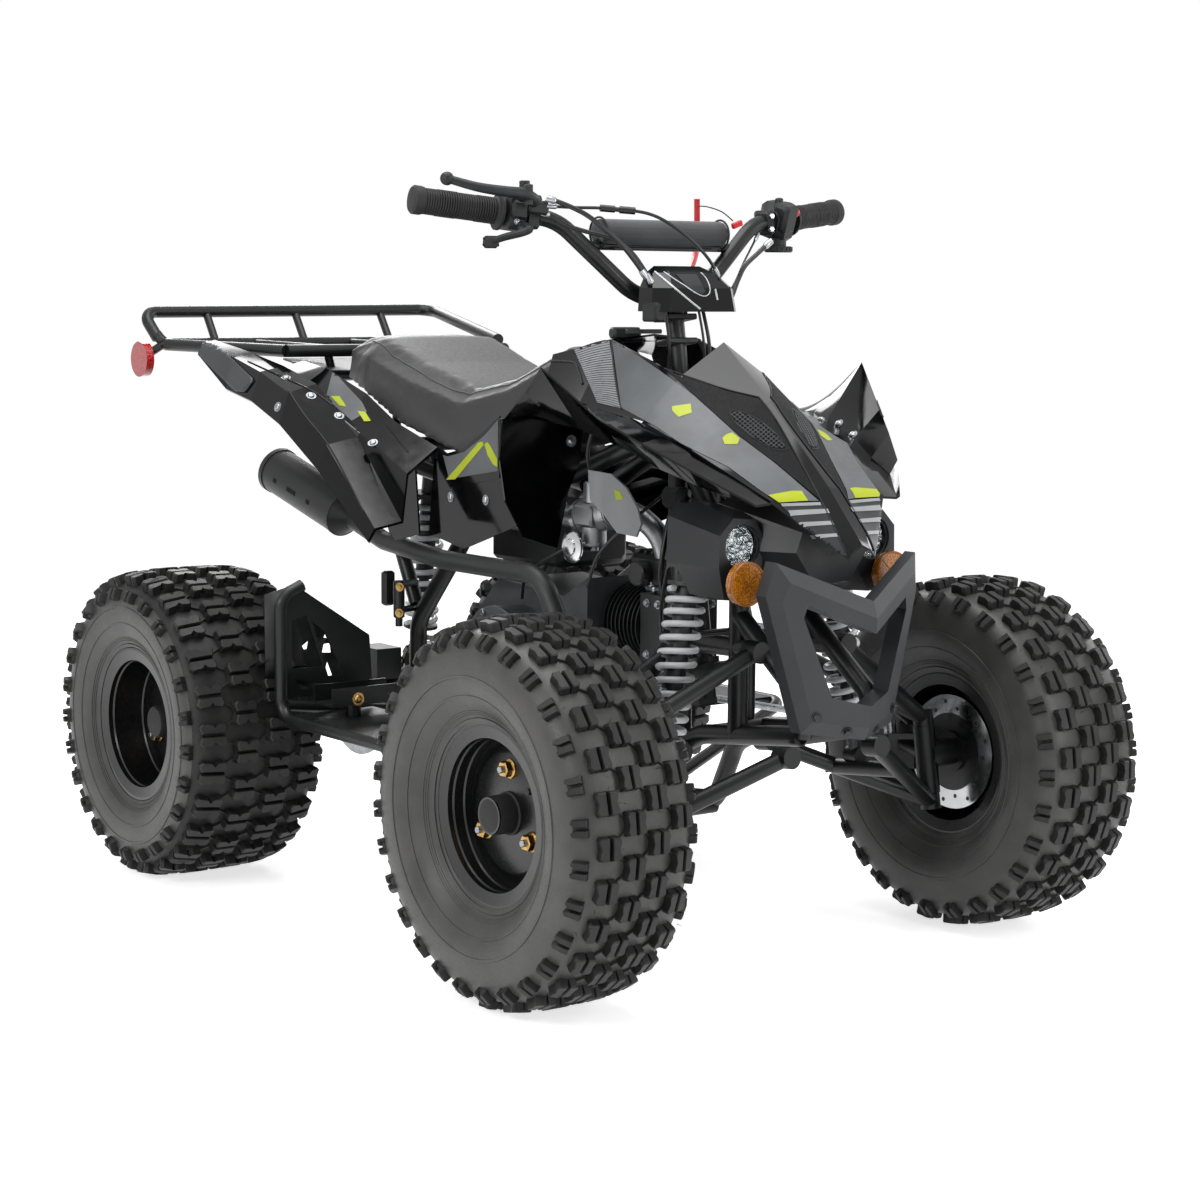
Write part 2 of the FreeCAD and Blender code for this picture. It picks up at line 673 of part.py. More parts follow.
def steering_column():
    top = steering_point(S.column_top)
    shaft = rod(pitman_root, top, S.column_radius)
    width = S.rod_pin_y + S.rod_eye_radius
    half_root = S.column_radius + S.pitman_wall / 2
    arm = slab([pitman_root + Vector(0, -half_root, 0), pitman_end + Vector(0, -width, 0),
                pitman_end + Vector(0, width, 0), pitman_root + Vector(0, half_root, 0)],
               steer_axis * -S.pitman_wall)
    return joined([shaft, arm])


feature("steering_column", steering_column())


def tie_rod():
    pitman_pin = pitman_end + Y_AXIS * S.rod_pin_y
    arm_root = kingpin_centre + steer_axis * S.steer_arm_rise
    arm_pin = arm_root - steer_ahead * S.pitman_length + Y_AXIS * S.rod_pin_y
    lift = steer_axis * (S.rod_eye_radius + S.running_gap)
    inner, outer = pitman_pin + lift, arm_pin + lift
    eyes = [centred_rod(point, steer_axis, S.rod_eye_radius * 2, S.rod_eye_radius) for point in (inner, outer)]
    return joined([rod(inner, outer, S.tie_rod_radius)] + eyes)


feature("tie_rod_left", tie_rod())
feature("tie_rod_right", flipped(tie_rod()))

# Handlebar and controls

clamp_place = grid((22.8, 0, 86.2))
riser_root = grid((22.8, 5, 86.2))
riser_bend = grid((20.5, 16.8, 96.4))
bar_end = grid((15.9, 36.0, 98.6))
crossbar_end = grid((21.25, 13.0, 93.1))


def handlebar():
    points = [mirrored_place(bar_end), mirrored_place(riser_bend), mirrored_place(riser_root),
              riser_root, riser_bend, bar_end]
    tube = bent_tube(points, S.bar_radius, S.bar_bend_radius)
    crossbar = rod(mirrored_place(crossbar_end), crossbar_end, S.crossbar_radius)
    top = steering_point(S.column_top)
    plate = Part.makeCylinder(S.headstock_radius, S.bar_radius, top, clamp_place - top)
    saddle = centred_rod(clamp_place, Y_AXIS, S.headstock_radius * 2, S.headstock_radius * 0.8)
    return joined([tube, crossbar, saddle, plate])


bar = handlebar().cut(nodes[-3].Shape.translated(-middle))
feature("handlebar", bar)


def bar_pad():
    centre = Vector(crossbar_end.x, 0, crossbar_end.z) + Z_AXIS * S.pad_rise
    pad = centred_rod(centre, Y_AXIS, S.pad_length, S.pad_radius)
    hole = centred_rod(Vector(crossbar_end.x, 0, crossbar_end.z), Y_AXIS, S.front_track,
                       S.crossbar_radius + S.seat_gap)
    return pad.cut(hole)


feature("bar_pad", bar_pad().cut(bar))


def grip():
    way = (bar_end - riser_bend).normalize()
    root = bar_end - way * S.grip_length
    sleeve = rod(root, bar_end + way * S.grip_flange_wall, S.grip_radius)
    flange = Part.makeCylinder(S.grip_flange_radius, S.grip_flange_wall, root, way)
    return joined([sleeve, flange]).cut(rod(root - way, bar_end, S.bar_radius + S.seat_gap))


feature("grips", both_sides(grip()))

# Pod levels from the foot up: height, rear and front stations, half width, corner cut
pod_shares = ((84.5, 24.2, 30.4, 7.2, 1.6), (87.6, 23.8, 30.2, 6.8, 1.8), (89.6, 23.5, 28.2, 5.4, 1.6),
              (90.5, 23.8, 26.2, 3.8, 1.0))


def instrument_pod():
    levels = []
    for up, back, front, half, cut in pod_shares:
        outline = ((back, half - cut), (back + cut, half), (front - cut, half), (front, half - cut),
                   (front, cut - half), (front - cut, -half), (back + cut, -half), (back, cut - half))
        levels.append([grid((along, across, up)) for along, across in outline])
    shell = lofted(levels)
    bracket = Part.makeBox(S.pad_radius * 2, S.pad_radius, S.panel_wall,
                           grid((22.4, 0, 87)) - Vector(0, S.pad_radius / 2, 0))
    return joined([shell, bracket])


column_room = rod(pitman_root, steering_point(S.column_top), S.column_radius + S.seat_gap)
feature("instrument_pod", instrument_pod().cut(bar).cut(column_room))


def lever(pivot, tip):
    return joined([rod(pivot, tip, S.crossbar_radius), Part.makeSphere(S.rod_eye_radius, tip)])


def controls_right():
    way = (bar_end - riser_bend).normalize()
    root = bar_end - way * (S.grip_length + S.grip_flange_wall)
    block = rod(root - way * S.peg_width, root, S.grip_flange_radius)
    perch_start = root - way * (S.peg_width / 2)
    perch_end = grid((23.6, -24, 99.4))
    perch = rod(mirrored_place(perch_start), perch_end, S.rod_eye_radius)
    brake = lever(perch_end, grid((20.6, -34, 101.2)))
    thumb = lever(mirrored_place(perch_start), grid((21.5, -28.5, 93.6)))
    return joined([flipped(block), perch, brake, thumb]).cut(bar)


feature("controls_right", controls_right().cut(nodes[-2].Shape.translated(-middle)))


def controls_left():
    way = (bar_end - riser_bend).normalize()
    root = bar_end - way * (S.grip_length + S.grip_flange_wall)
    block = rod(root - way * S.peg_width, root, S.grip_flange_radius * 1.2)
    dial = Part.makeCylinder(S.grip_flange_radius * 0.8, S.grip_flange_radius, root - way * S.peg_width / 2
                             - Z_AXIS * (S.grip_flange_radius * 2), Z_AXIS)
    return joined([block, dial]).cut(bar)


feature("controls_left", controls_left())


# Bodywork

bumper_outer_shares = ((0, 49.4), (11.7, 54.4), (12.6, 50.1), (7.6, 32.8), (0, 31.8))
bumper_face_shares = ((0, 47.3), (10.4, 51.9), (11.2, 49.5), (6.8, 34.4), (0, 33.4))
bumper_window_shares = ((0, 45.4), (8.2, 49.1), (8.6, 47.5), (4.7, 37.4), (0, 36.2))
bumper_place_share, bumper_sweep_share, bumper_lean_share = 65.7, 0.46, 0.067


def bumper():
    # two flat swept halves that meet in a notch on the centre line, bevelled to the front, one window each
    def place(across, up):
        fall = bumper_outer_shares[0][1] - up
        along = bumper_place_share - bumper_sweep_share * across - bumper_lean_share * fall
        return grid((along, across, up))
    depth = Vector(-S.bumper_depth, 0, 0)
    bevel = Vector(-S.bumper_bevel, 0, 0)
    outer = [place(*point) for point in bumper_outer_shares]
    face = [place(*point) for point in bumper_face_shares]
    half = lofted([[point + depth for point in outer], [point + bevel for point in outer], face])
    window = slab([place(*point) - depth for point in bumper_window_shares], depth * 4)
    half = half.cut(window)
    return joined([half, flipped(half)])


feature("front_bumper", bumper().cut(frame_solid))

# Cowl sections from the column to the nose: lower edge, side top edge, ridge
cowl_shares = (
    ((35, 13.2, 70.5), (35, 7.2, 76.2), (35, 0, 80.6)),
    ((45, 13.2, 67.4), (44.5, 6.4, 70.6), (44.5, 0, 73.4)),
    ((56, 9.5, 61.6), (56, 4.6, 62.0), (56, 0, 63.0)),
    ((62.5, 2.2, 54.6), (62.5, 1.3, 55.6), (62.5, 0, 56.2)),
)
side_panel_shares = (
    ((20.2, 12.5, 72.4), (20.2, 7.6, 80.7)),
    ((35, 13.2, 70.5), (35, 7.2, 76.2)),
)


def arch(line_shares):
    half = grids(line_shares)
    return half + [mirrored_place(point) for point in reversed(half[:-1])]


def front_cowl():
    drop = Vector(0, 0, -S.panel_wall)
    hood = lofted([strip(arch(line_shares), drop) for line_shares in cowl_shares])
    inward = Vector(0, -S.panel_wall, 0)
    panel = lofted([strip(grids(line_shares), inward) for line_shares in side_panel_shares])
    return joined([hood, panel, flipped(panel)])


cowl = front_cowl().cut(frame_solid)
feature("front_cowl", cowl)

mask_rear_shares = ((42, 12, 62), (42, 14, 55), (42, 10, 48), (42, -10, 48), (42, -14, 55), (42, -12, 62))
mask_front_shares = ((57, 5, 57.5), (57, 6, 55), (57, 3, 51), (57, -3, 51), (57, -6, 55), (57, -5, 57.5))
mask_hollow_rear_shares = ((41.7, 11.7, 61.7), (41.7, 13.7, 55), (41.7, 9.8, 48.3),
                           (41.7, -9.8, 48.3), (41.7, -13.7, 55), (41.7, -11.7, 61.7))
mask_hollow_front_shares = ((56.7, 4.7, 57.1), (56.7, 5.7, 55), (56.7, 2.8, 51.3),
                            (56.7, -2.8, 51.3), (56.7, -5.7, 55), (56.7, -4.7, 57.1))
# Lamp pod: station, then its outline as places across and up
pod_outline_shares = (
    (42.2, ((7.5, 61.5), (12.5, 61.8), (14.7, 59), (14.9, 53), (14.1, 49.4), (10.6, 48.1), (8, 48.1), (6.5, 52))),
    (52.6, ((8.9, 59), (12.6, 59.3), (14.7, 57.2), (14.8, 53.2), (13.9, 49.2), (10.4, 48.8), (8, 52), (7.5, 56.5))),
)


def front_mask():
    block = lofted([grids(mask_rear_shares), grids(mask_front_shares)])
    pod = lofted([grids([(along,) + place for place in outline_shares]) for along, outline_shares in pod_outline_shares])
    bore = rod(grid((47.5, 11, 55.7)), grid((60, 11, 55.7)), S.lamp_radius + S.lamp_gap)
    hollow = lofted([grids(mask_hollow_rear_shares), grids(mask_hollow_front_shares)])
    bracket = rod(grid((49, 11.6, 53.4)), grid((54.2, 12.2, 51.3)), S.rod_eye_radius)
    body = joined([block.cut(hollow), pod, flipped(pod), bracket, flipped(bracket)])
    well = rod(shock_top + (shock_top - shock_foot) / 2, shock_foot,
               S.shock_spring_radius + S.spring_wire_radius * 2)
    for cutter in (bore, flipped(bore), well, flipped(well)):
        body = body.cut(cutter)
    return body


mask = front_mask().cut(cowl).cut(frame_solid)
feature("front_mask", max(mask.Solids, key=lambda solid: solid.Volume))


def headlamp():
    back = grid((47.5, 11, 55.7))
    return Part.makeCylinder(S.lamp_radius, S.lamp_depth, back, X_AXIS)


feature("headlamps", both_sides(headlamp()))


def amber_reflector():
    place = grid((54.2, 12.2, 51.3))
    return Part.makeCylinder(S.amber_radius, S.amber_wall, place, X_AXIS)


feature("amber_reflectors", both_sides(amber_reflector()).cut(nodes[-2].Shape.translated(-middle)))

# Front fender sections from the rear edge forward: cowl side, fold line, edge of the raised flap
fender_shares = (
    ((22.2, 12.45, 72.2), (22.2, 22.5, 70.9), (22.2, 26.6, 70.4)),
    ((28, 12.7, 71.5), (28, 22.1, 70.5), (28, 27.0, 74.4)),
    ((32, 12.95, 70.9), (32, 21.2, 69.9), (32, 27.3, 77.6)),
    ((39.5, 13.0, 68.9), (39.5, 19.4, 67.6), (39.5, 23.9, 71.5)),
    ((44.5, 12.7, 67.2), (44.5, 17.9, 65.4), (44.5, 21.0, 68.6)),
    ((50, 11.3, 64.5), (50, 16.2, 63.6), (50, 17.5, 65.4)),
    ((56, 9.2, 61.4), (56, 11.8, 61.2), (56, 12.4, 61.5)),
)
# Splash guard behind the wheel, hung from the rear edge of the fender
splash_shares = ((27.0, 70.6), (27.2, 66), (26.2, 60), (23.2, 55), (17.8, 53.3), (16.0, 60.8), (14.2, 64.5),
                 (13.4, 71.9))
splash_x_share = 22.3


def front_fender():
    drop = Vector(0, 0, -S.panel_wall)
    roof = lofted([strip(grids(line_shares), drop) for line_shares in fender_shares])
    outline = [grid((splash_x_share, across, up)) for across, up in splash_shares]
    return joined([roof, slab(outline, Vector(S.panel_wall, 0, 0))])


fender_left = front_fender().cut(cowl)
feature("front_fender_left", fender_left)
feature("front_fender_right", flipped(fender_left))

tank_shares = (
    ((8.6, 12.0, 68), (8.6, 8.6, 78.4), (8.6, 0, 80.2)),
    ((20.2, 12.5, 72.4), (20.2, 7.6, 80.7), (20.2, 0, 81.4)),
)


def tank_cover():
    drop = Vector(0, 0, -S.panel_wall)
    return lofted([strip(arch(line_shares), drop) for line_shares in tank_shares])


feature("tank_cover", tank_cover())

# Seat sections from the tail to the nose: half width, underside, edge and crown heights
seat_shares = (
    (-40, 12.0, 73.6, 78.0, 80.0), (-33, 13.8, 72.0, 77.5, 79.6), (-22, 14.0, 67.4, 74.2, 76.0),
    (-10, 12.5, 64, 71.2, 72.6), (-2, 10.2, 65, 73.2, 74.4), (8, 7.6, 72, 77.6, 79.6),
    (10, 7.2, 73, 77.8, 79.4),
)


def seat():
    sections = []
    for along, half, under, edge, crown in seat_shares:
        shoulder_share = 0.72
        line = ((along, half, edge), (along, half * shoulder_share, crown), (along, -half * shoulder_share, crown),
                (along, -half, edge), (along, -half, under), (along, half, under))
        sections.append(grids(line))
    return lofted(sections)


tank_solid = nodes[-1].Shape.translated(-middle)
seat_solid = seat().cut(tank_solid).cut(rear_frame_solid)
seat_solid = max(seat_solid.Solids, key=lambda solid: solid.Volume)
feature("seat", seat_solid)

side_cover_shares = ((-13.5, 63), (-4, 63.4), (7.5, 70.5), (14, 67), (11, 56), (-6, 50.5), (-15, 52))


def side_cover():
    return slab([grid((along, 13.6, up)) for along, up in side_cover_shares], Vector(0, -S.panel_wall, 0))


cover_tab_shares = (((-10.5, 13.5, 54), (-10.5, 9.5, 54)), ((3, 13.5, 61), (3, 6, 59.6)))
cover_left = joined([side_cover()] + [rod(grid(start), grid(end), S.rack_post_radius)
                                      for start, end in cover_tab_shares])
cover_left = cover_left.cut(seat_solid).cut(frame_solid)
feature("side_covers", both_sides(max(cover_left.Solids, key=lambda solid: solid.Volume)))

# Rear fender sections from the tip forward. Arm: inner top, outer top, outer bottom
fender_arm_shares = (
    ((-58.4, 24.6, 79.0), (-58.4, 26.8, 78.5), (-58.4, 27.6, 76.8)),
    ((-50.5, 22.8, 77.3), (-50.5, 25.6, 76.5), (-50.5, 27.1, 71.8)),
    ((-43, 21.3, 75.4), (-43, 25.4, 74.6), (-43, 27.0, 70.3)),
    ((-35, 20.4, 73.0), (-35, 25.2, 71.8), (-35, 26.8, 67.2)),
    ((-25, 19.5, 65.6), (-25, 24.7, 64.6), (-25, 26.2, 61.0)),
    ((-13, 19.5, 54.2), (-13, 24.0, 53.4), (-13, 25.2, 51.6)),
)
# Panel beside the seat: inner and outer edge
fender_panel_shares = (
    ((-50, 13.8, 75.9), (-50, 19.4, 74.5)),
    ((-42, 14.4, 75.0), (-42, 19.2, 72.1)),
    ((-30, 14.7, 71.6), (-30, 19.0, 68.1)),
    ((-22, 14.7, 67.8), (-22, 19.0, 65.0)),
    ((-13, 13.4, 64.6), (-13, 18.6, 61.0)),
)
# Wall between the panel and the arm, where they meet
fender_wall_shares = (
    ((-30, 19.0, 68.1), (-30, 19.5, 69.4)),
    ((-25, 19.0, 66.2), (-25, 19.5, 65.6)),
    ((-13, 18.6, 61.0), (-13, 19.5, 54.2)),
)
fender_skirt_shares = ((-34, 72.05), (-30, 70.9), (-22, 67.2), (-16, 64.45), (-14.6, 52), (-21, 50.5), (-32, 60))


def rear_fender():
    push = Vector(0, -S.panel_wall, -S.panel_wall)
    sheets = [lofted([strip(grids(line_shares), push) for line_shares in table_shares])
              for table_shares in (fender_arm_shares, fender_panel_shares, fender_wall_shares[1:])]
    skirt = slab([grid((along, 15.2, up)) for along, up in fender_skirt_shares], Vector(0, S.panel_wall, 0))
    return joined(sheets + [skirt])


rear_fender_left = rear_fender()
feature("rear_fender_left", rear_fender_left)
feature("rear_fender_right", flipped(rear_fender_left))

tail_shares = (((-62, 10.5, 75.95), (-62, -10.5, 75.95)), ((-50, 14.6, 75.5), (-50, -14.6, 75.5)),
               ((-41, 15.0, 74.7), (-41, -15.0, 74.7)))


def tail_cover():
    drop = Vector(0, 0, -S.panel_wall)
    return lofted([strip(grids(line_shares), drop) for line_shares in tail_shares])


tail_solid = tail_cover().cut(rear_frame_solid).cut(rear_fender_left).cut(flipped(rear_fender_left))
tail_solid = max(tail_solid.Solids, key=lambda solid: solid.Volume)
feature("tail_cover", tail_solid)

tail_lamp_low, tail_lamp_high = grid((-65, -4, 72.8)), grid((-62.3, 4, 75.6))
tail_lamp_size = tail_lamp_high - tail_lamp_low
tail_lamp = Part.makeBox(tail_lamp_size.x, tail_lamp_size.y, tail_lamp_size.z, tail_lamp_low)
feature("tail_lamp", tail_lamp.cut(rear_frame_solid).cut(tail_solid))

rack_loop_shares = ((-73.6, -26.6, 79), (-77.2, -27.4, 83), (-77.2, 27.4, 83.4), (-46.5, 20.2, 79))
rack_base_shares = ((-44.5, -20, 77.6), (-73.8, -26.6, 78), (-73.8, 26.6, 78), (-44.5, 20, 77.6))
rack_post_y_shares = (-16, 0.5, 17)
rack_bar_y_shares = (-9, 9)


def rear_rack():
    parts = [bent_tube(grids(rack_loop_shares), S.rack_tube_radius, S.rack_bend_radius),
             bent_tube(grids(rack_base_shares), S.rack_tube_radius, S.rack_bend_radius),
             rod(grid((-44.5, -20, 77.6)), grid((-44.5, 20, 77.6)), S.rack_tube_radius)]
    for across in rack_post_y_shares:
        parts.append(rod(grid((-73.8, across, 78)), grid((-77.2, across, 83)), S.rack_post_radius))
    for across in rack_bar_y_shares:
        parts.append(rod(grid((-73.8, across, 78)), grid((-44.5, across, 77.6)), S.rack_post_radius))
    for across in (-1, 1):
        parts.append(rod(grid((-46, across * 12, 77.6)), grid((-46, across * 9.5, 69)), S.rack_post_radius))
        parts.append(rod(grid((-72.4, across * 26.2, 78)), grid((-74.5, across * 27.8, 76.4)), S.rack_post_radius))
    return joined(parts)


rack = rear_rack().cut(rear_frame_solid).cut(tail_solid)
feature("rear_rack", max(rack.Solids, key=lambda solid: solid.Volume))


def red_reflector():
    return Part.makeCylinder(S.red_radius, S.red_wall, grid((-75.4, 27.7, 75.6)), Y_AXIS)


feature("side_reflectors", both_sides(red_reflector()).cut(nodes[-1].Shape.translated(-middle)))


# Engine and exhaust

case_shares = ((-12, 26), (-14, 38), (-6, 46), (10, 45), (15.5, 48), (15.5, 36), (12, 25), (4, 22.5), (-6, 22.5))


def crankcase():
    block = slab([grid((along, 0, up)) - Y_AXIS * S.case_half_width for along, up in case_shares],
                 Y_AXIS * (S.case_half_width * 2))
    covers = [Part.makeCylinder(S.cover_radius, S.cover_wall, grid((0, 0, 35)) - Y_AXIS * S.case_half_width,
                                Y_AXIS * -1),
              Part.makeCylinder(S.cover_radius * 0.9, S.cover_wall, grid((2, 0, 35)) + Y_AXIS * S.case_half_width,
                                Y_AXIS)]
    return joined([block] + covers)


engine_case = crankcase()
feature("engine_crankcase", engine_case.cut(frame_solid))


def cylinder():
    start = grid((15.5, 0, 42)) + X_AXIS * S.seat_gap
    count = 9
    barrel = Part.makeCylinder(S.barrel_radius, S.fin_pitch * count, start, X_AXIS)
    fins = []
    for index in range(count):
        fin = Part.makeCylinder(S.fin_radius, S.fin_wall, start + X_AXIS * (S.fin_pitch * (index + 0.5)), X_AXIS)
        fins.append(fin)
    head_start = start + X_AXIS * (S.fin_pitch * count)
    head_half = S.head_half
    head = Part.makeBox(grid((28.8, 0, 0)).x - head_start.x, head_half * 2, head_half * 2,
                        head_start - Vector(0, head_half, head_half))
    return joined([barrel] + fins + [head])


engine_top = cylinder()
feature("engine_cylinder", engine_top.cut(frame_solid))

intake_shares = ((26, -2, 46.9), (27, -3, 54), (22, -5, 58), (12, -6, 56), (2, -6, 56))


def intake():
    pipe = bent_tube(grids(intake_shares), S.manifold_radius, S.frame_bend_radius)
    carburettor = rod(grid((19, -5.4, 57.4)), grid((12, -6, 56)), S.manifold_radius * 1.6)
    airbox = rod(grid((4, -6, 56)), grid((-5, -6, 56)), S.manifold_radius * 2)
    return joined([pipe, carburettor, airbox])


feature("intake", intake().cut(frame_solid).cut(engine_top))

exhaust_shares = ((25.5, -2, 37.4), (20, -3, 34.5), (18, -9, 35.5), (16.5, -12.4, 41), (12, -12.8, 48.4),
                  (-12, -13, 48.4), (-28, -13, 49.8), (-36.8, -13, 52.3))


def exhaust_pipe():
    return bent_tube(grids(exhaust_shares), S.exhaust_radius, S.frame_bend_radius)


pipe_solid = exhaust_pipe().cut(frame_solid).cut(engine_case).cut(engine_top)
feature("exhaust_pipe", max(pipe_solid.Solids, key=lambda solid: solid.Volume))


def muffler():
    start, end = grid((-36.9, -13, 52.4)), grid((-55.6, -15.2, 58.7))
    way = (end - start).normalize()
    can = rod(start + way * S.muffler_cap, end, S.muffler_radius)
    cone = Part.makeCone(S.exhaust_radius, S.muffler_radius, S.muffler_cap, start, way)
    tip = Part.makeCylinder(S.exhaust_radius, S.muffler_cap, end, way)
    return joined([can, cone, tip])


feature("muffler", muffler().cut(rear_frame_solid).cut(pipe_solid))


# Swingarm, rear shock, chain and rear brake

swing_pivot = grid((-24, 0, 33))
axle_place = Vector(rear_centre.x, 0, rear_centre.z)


def swingarm():
    parts = [centred_rod(axle_place, Y_AXIS, S.carrier_length, S.carrier_radius)]
    half = S.carrier_length / 2 - S.arm_tube_radius
    for across in (-half, half):
        offset = Y_AXIS * across
        parts.append(rod(swing_pivot + offset, axle_place + offset + Z_AXIS * (S.carrier_radius * 0.5),
                         S.frame_tube_radius))
    parts.append(centred_rod(swing_pivot, Y_AXIS, S.carrier_length + S.frame_tube_radius, S.frame_tube_radius * 1.2))
    foot = rod(grid((-39, 0, 29)), axle_place + Z_AXIS * (S.carrier_radius * 0.5), S.frame_tube_radius)
    parts.append(foot)
    parts.append(rod(grid((-36, -3.6, 30)), grid((-36, 3.6, 30)), S.frame_tube_radius))
    body = joined(parts)
    return body.cut(centred_rod(axle_place, Y_AXIS, S.front_track, S.axle_radius + S.running_gap))


swing = swingarm().cut(frame_solid)
feature("swingarm", swing)
rear_shock_top, rear_shock_foot = grid((-34.6, 0, 61.6)), grid((-38.7, 0, 31))
feature("rear_shock", shock(rear_shock_top, rear_shock_foot).cut(swing).cut(rear_frame_solid))
feature("rear_spring", coil_spring(rear_shock_top, rear_shock_foot))

drive_place = grid((-10, 0, 30)) + Y_AXIS * S.sprocket_y


def chain_stop(distance, wheel, near_radius, far_radius):
    # place and direction at a distance along the closed belt line round the two sprockets
    span = drive_place - wheel
    lean = math.asin((far_radius - near_radius) / span.Length)
    base = math.atan2(span.z, span.x)
    run = span.Length * math.cos(lean)
    far_arc, near_arc = far_radius * (math.pi + 2 * lean), near_radius * (math.pi - 2 * lean)
    distance = distance % (2 * run + far_arc + near_arc)
    upper, lower = base + math.pi / 2 - lean, base - math.pi / 2 + lean

    def on(centre, radius, angle):
        outward = Vector(math.cos(angle), 0, math.sin(angle))
        return centre + outward * radius, outward
    if distance < run:
        point, outward = on(wheel, far_radius, upper)
        return point + outward.cross(Y_AXIS) * -distance, outward
    distance -= run
    if distance < near_arc:
        return on(drive_place, near_radius, upper - distance / near_radius)
    distance -= near_arc
    if distance < run:
        point, outward = on(drive_place, near_radius, lower)
        return point + outward.cross(Y_AXIS) * -distance, outward
    return on(wheel, far_radius, lower - (distance - run) / far_radius)


def chain():
    # a band of rollers with wide link plates on every second pitch
    wheel = Vector(axle_place.x, S.sprocket_y, axle_place.z)
    near_radius = S.drive_sprocket_radius + S.chain_depth / 2
    far_radius = S.sprocket_radius + S.chain_depth / 2 + S.chain_gap
    half = S.roller_width / 2
    links = []
    length = 2 * (drive_place - wheel).Length + math.pi * (near_radius + far_radius)
    count = int(length / S.chain_pitch)
    pitch = length / count
    for index in range(count * 2):
        start, first = chain_stop(pitch / 2 * (index - 0.08), wheel, near_radius, far_radius)
        end, second = chain_stop(pitch / 2 * (index + 1.08), wheel, near_radius, far_radius)
        wide = S.chain_width / 2 if index % 2 else half
        deep = S.chain_depth / 2 if index % 2 else half
        corners = [start - first * deep, end - second * deep, end + second * deep, start + first * deep]
        links.append(slab([corner - Y_AXIS * wide for corner in corners], Y_AXIS * (wide * 2)))
    return joined(links)


feature("chain", chain().cut(engine_case))


def rear_brake():
    centre = Vector(axle_place.x, S.rear_disc_y, axle_place.z)
    block = Part.makeBox(S.caliper_length, S.caliper_height, S.caliper_width * 1.4,
                         centre + Vector(S.rear_disc_radius * 0.35, -S.caliper_height / 2, S.rear_disc_radius * 0.55))
    slot = centred_rod(centre, Y_AXIS, S.rear_disc_wall * 3.5, S.rear_disc_radius + S.rear_disc_wall * 2)
    bracket_share = 0.55
    hold = rod(centre + Vector(S.carrier_radius * bracket_share, S.carrier_length * 0.4, S.carrier_radius * bracket_share),
               centre + Vector(S.rear_disc_radius * 0.6, S.carrier_length * 0.16, S.rear_disc_radius * 0.72),
               S.rod_eye_radius)
    return joined([block, hold]).cut(slot)


feature("rear_brake", rear_brake().cut(swing).cut(frame_solid))

# Foot rests: peg, floor, transverse heel guard and its bent tube
guard_shares = ((35, 29), (35, 43.5), (31.5, 44.5), (20, 37), (19.5, 28.2))
guard_tube_shares = ((-20.6, 31.5, 45), (-20.6, 35, 43.5), (-20.6, 35, 26.2), (-14, 34.5, 26),
                     (8, 34.5, 26), (14, 9, 18))
inner_tube_shares = ((-13.9, 33.7, 26), (-13.9, 9, 24.2))
guard_slot_shares = (((33, 33), (33, 40), (30.6, 40.6), (28, 33)),
                     ((27, 31.5), (29.6, 39.6), (27.6, 38), (24.4, 31.5)),
                     ((31.6, 30), (32.6, 31.6), (24, 29.4), (24, 29)))
back_tube_shares = ((-20.2, 34.5, 28), (-20.2, 9, 24.6))
floor_shares = ((-19.2, 34.1), (6.4, 34.1), (6.4, 20.5), (-19.2, 20.5))
guard_x_share, floor_z_share, floor_drop_share, stem_share = -20.9, 26.7, 0.7, 1.35
peg_low_share, peg_x_share, peg_y_shares = 28.6, -14, (20, 32)


def foot_rest(side):
    def here(along, across, up):
        return grid((along, side * across, up))
    guard = slab([here(guard_x_share, across, up) for across, up in guard_shares], Vector(-S.guard_wall, 0, 0))
    for slot_shares in guard_slot_shares:
        ahead = Vector(S.guard_wall, 0, 0)
        slot = [here(guard_x_share, across, up) + ahead for across, up in slot_shares]
        guard = guard.cut(slab(slot, ahead * -3))
    tube = bent_tube([here(*place) for place in guard_tube_shares], S.guard_tube_radius, S.frame_bend_radius / 2)
    parts = [guard, tube]
    for table_shares in (inner_tube_shares, back_tube_shares):
        start, end = [here(*place) for place in table_shares]
        parts.append(rod(start, end, S.guard_tube_radius))
    floor = [here(along, across, floor_z_share) for along, across in floor_shares]
    parts.append(slab(floor, Vector(0, 0, -S.guard_wall)))
    half, wall = S.peg_width / 2, S.peg_wall
    near_y, far_y = peg_y_shares
    foot = here(peg_x_share, near_y, peg_low_share)
    channel = [foot + Vector(across, 0, up) for across, up in (
        (-half, 0), (half, 0), (half, S.peg_height), (half - wall, S.peg_height), (half - wall, wall),
        (wall - half, wall), (wall - half, S.peg_height), (-half, S.peg_height))]
    parts.append(slab(channel, Vector(0, side * (far_y - near_y) * buttock, 0)))
    stem_start = here(peg_x_share, near_y * stem_share, peg_low_share)
    stem_end = here(peg_x_share, near_y * stem_share, floor_z_share - floor_drop_share)
    parts.append(rod(stem_start + Z_AXIS * (wall / 2), stem_end, S.guard_tube_radius * 1.2))
    body = joined(parts).cut(frame_solid).cut(engine_case)
    return max(body.Solids, key=lambda solid: solid.Volume)


feature("footrest_right", foot_rest(-1))
feature("footrest_left", foot_rest(1))

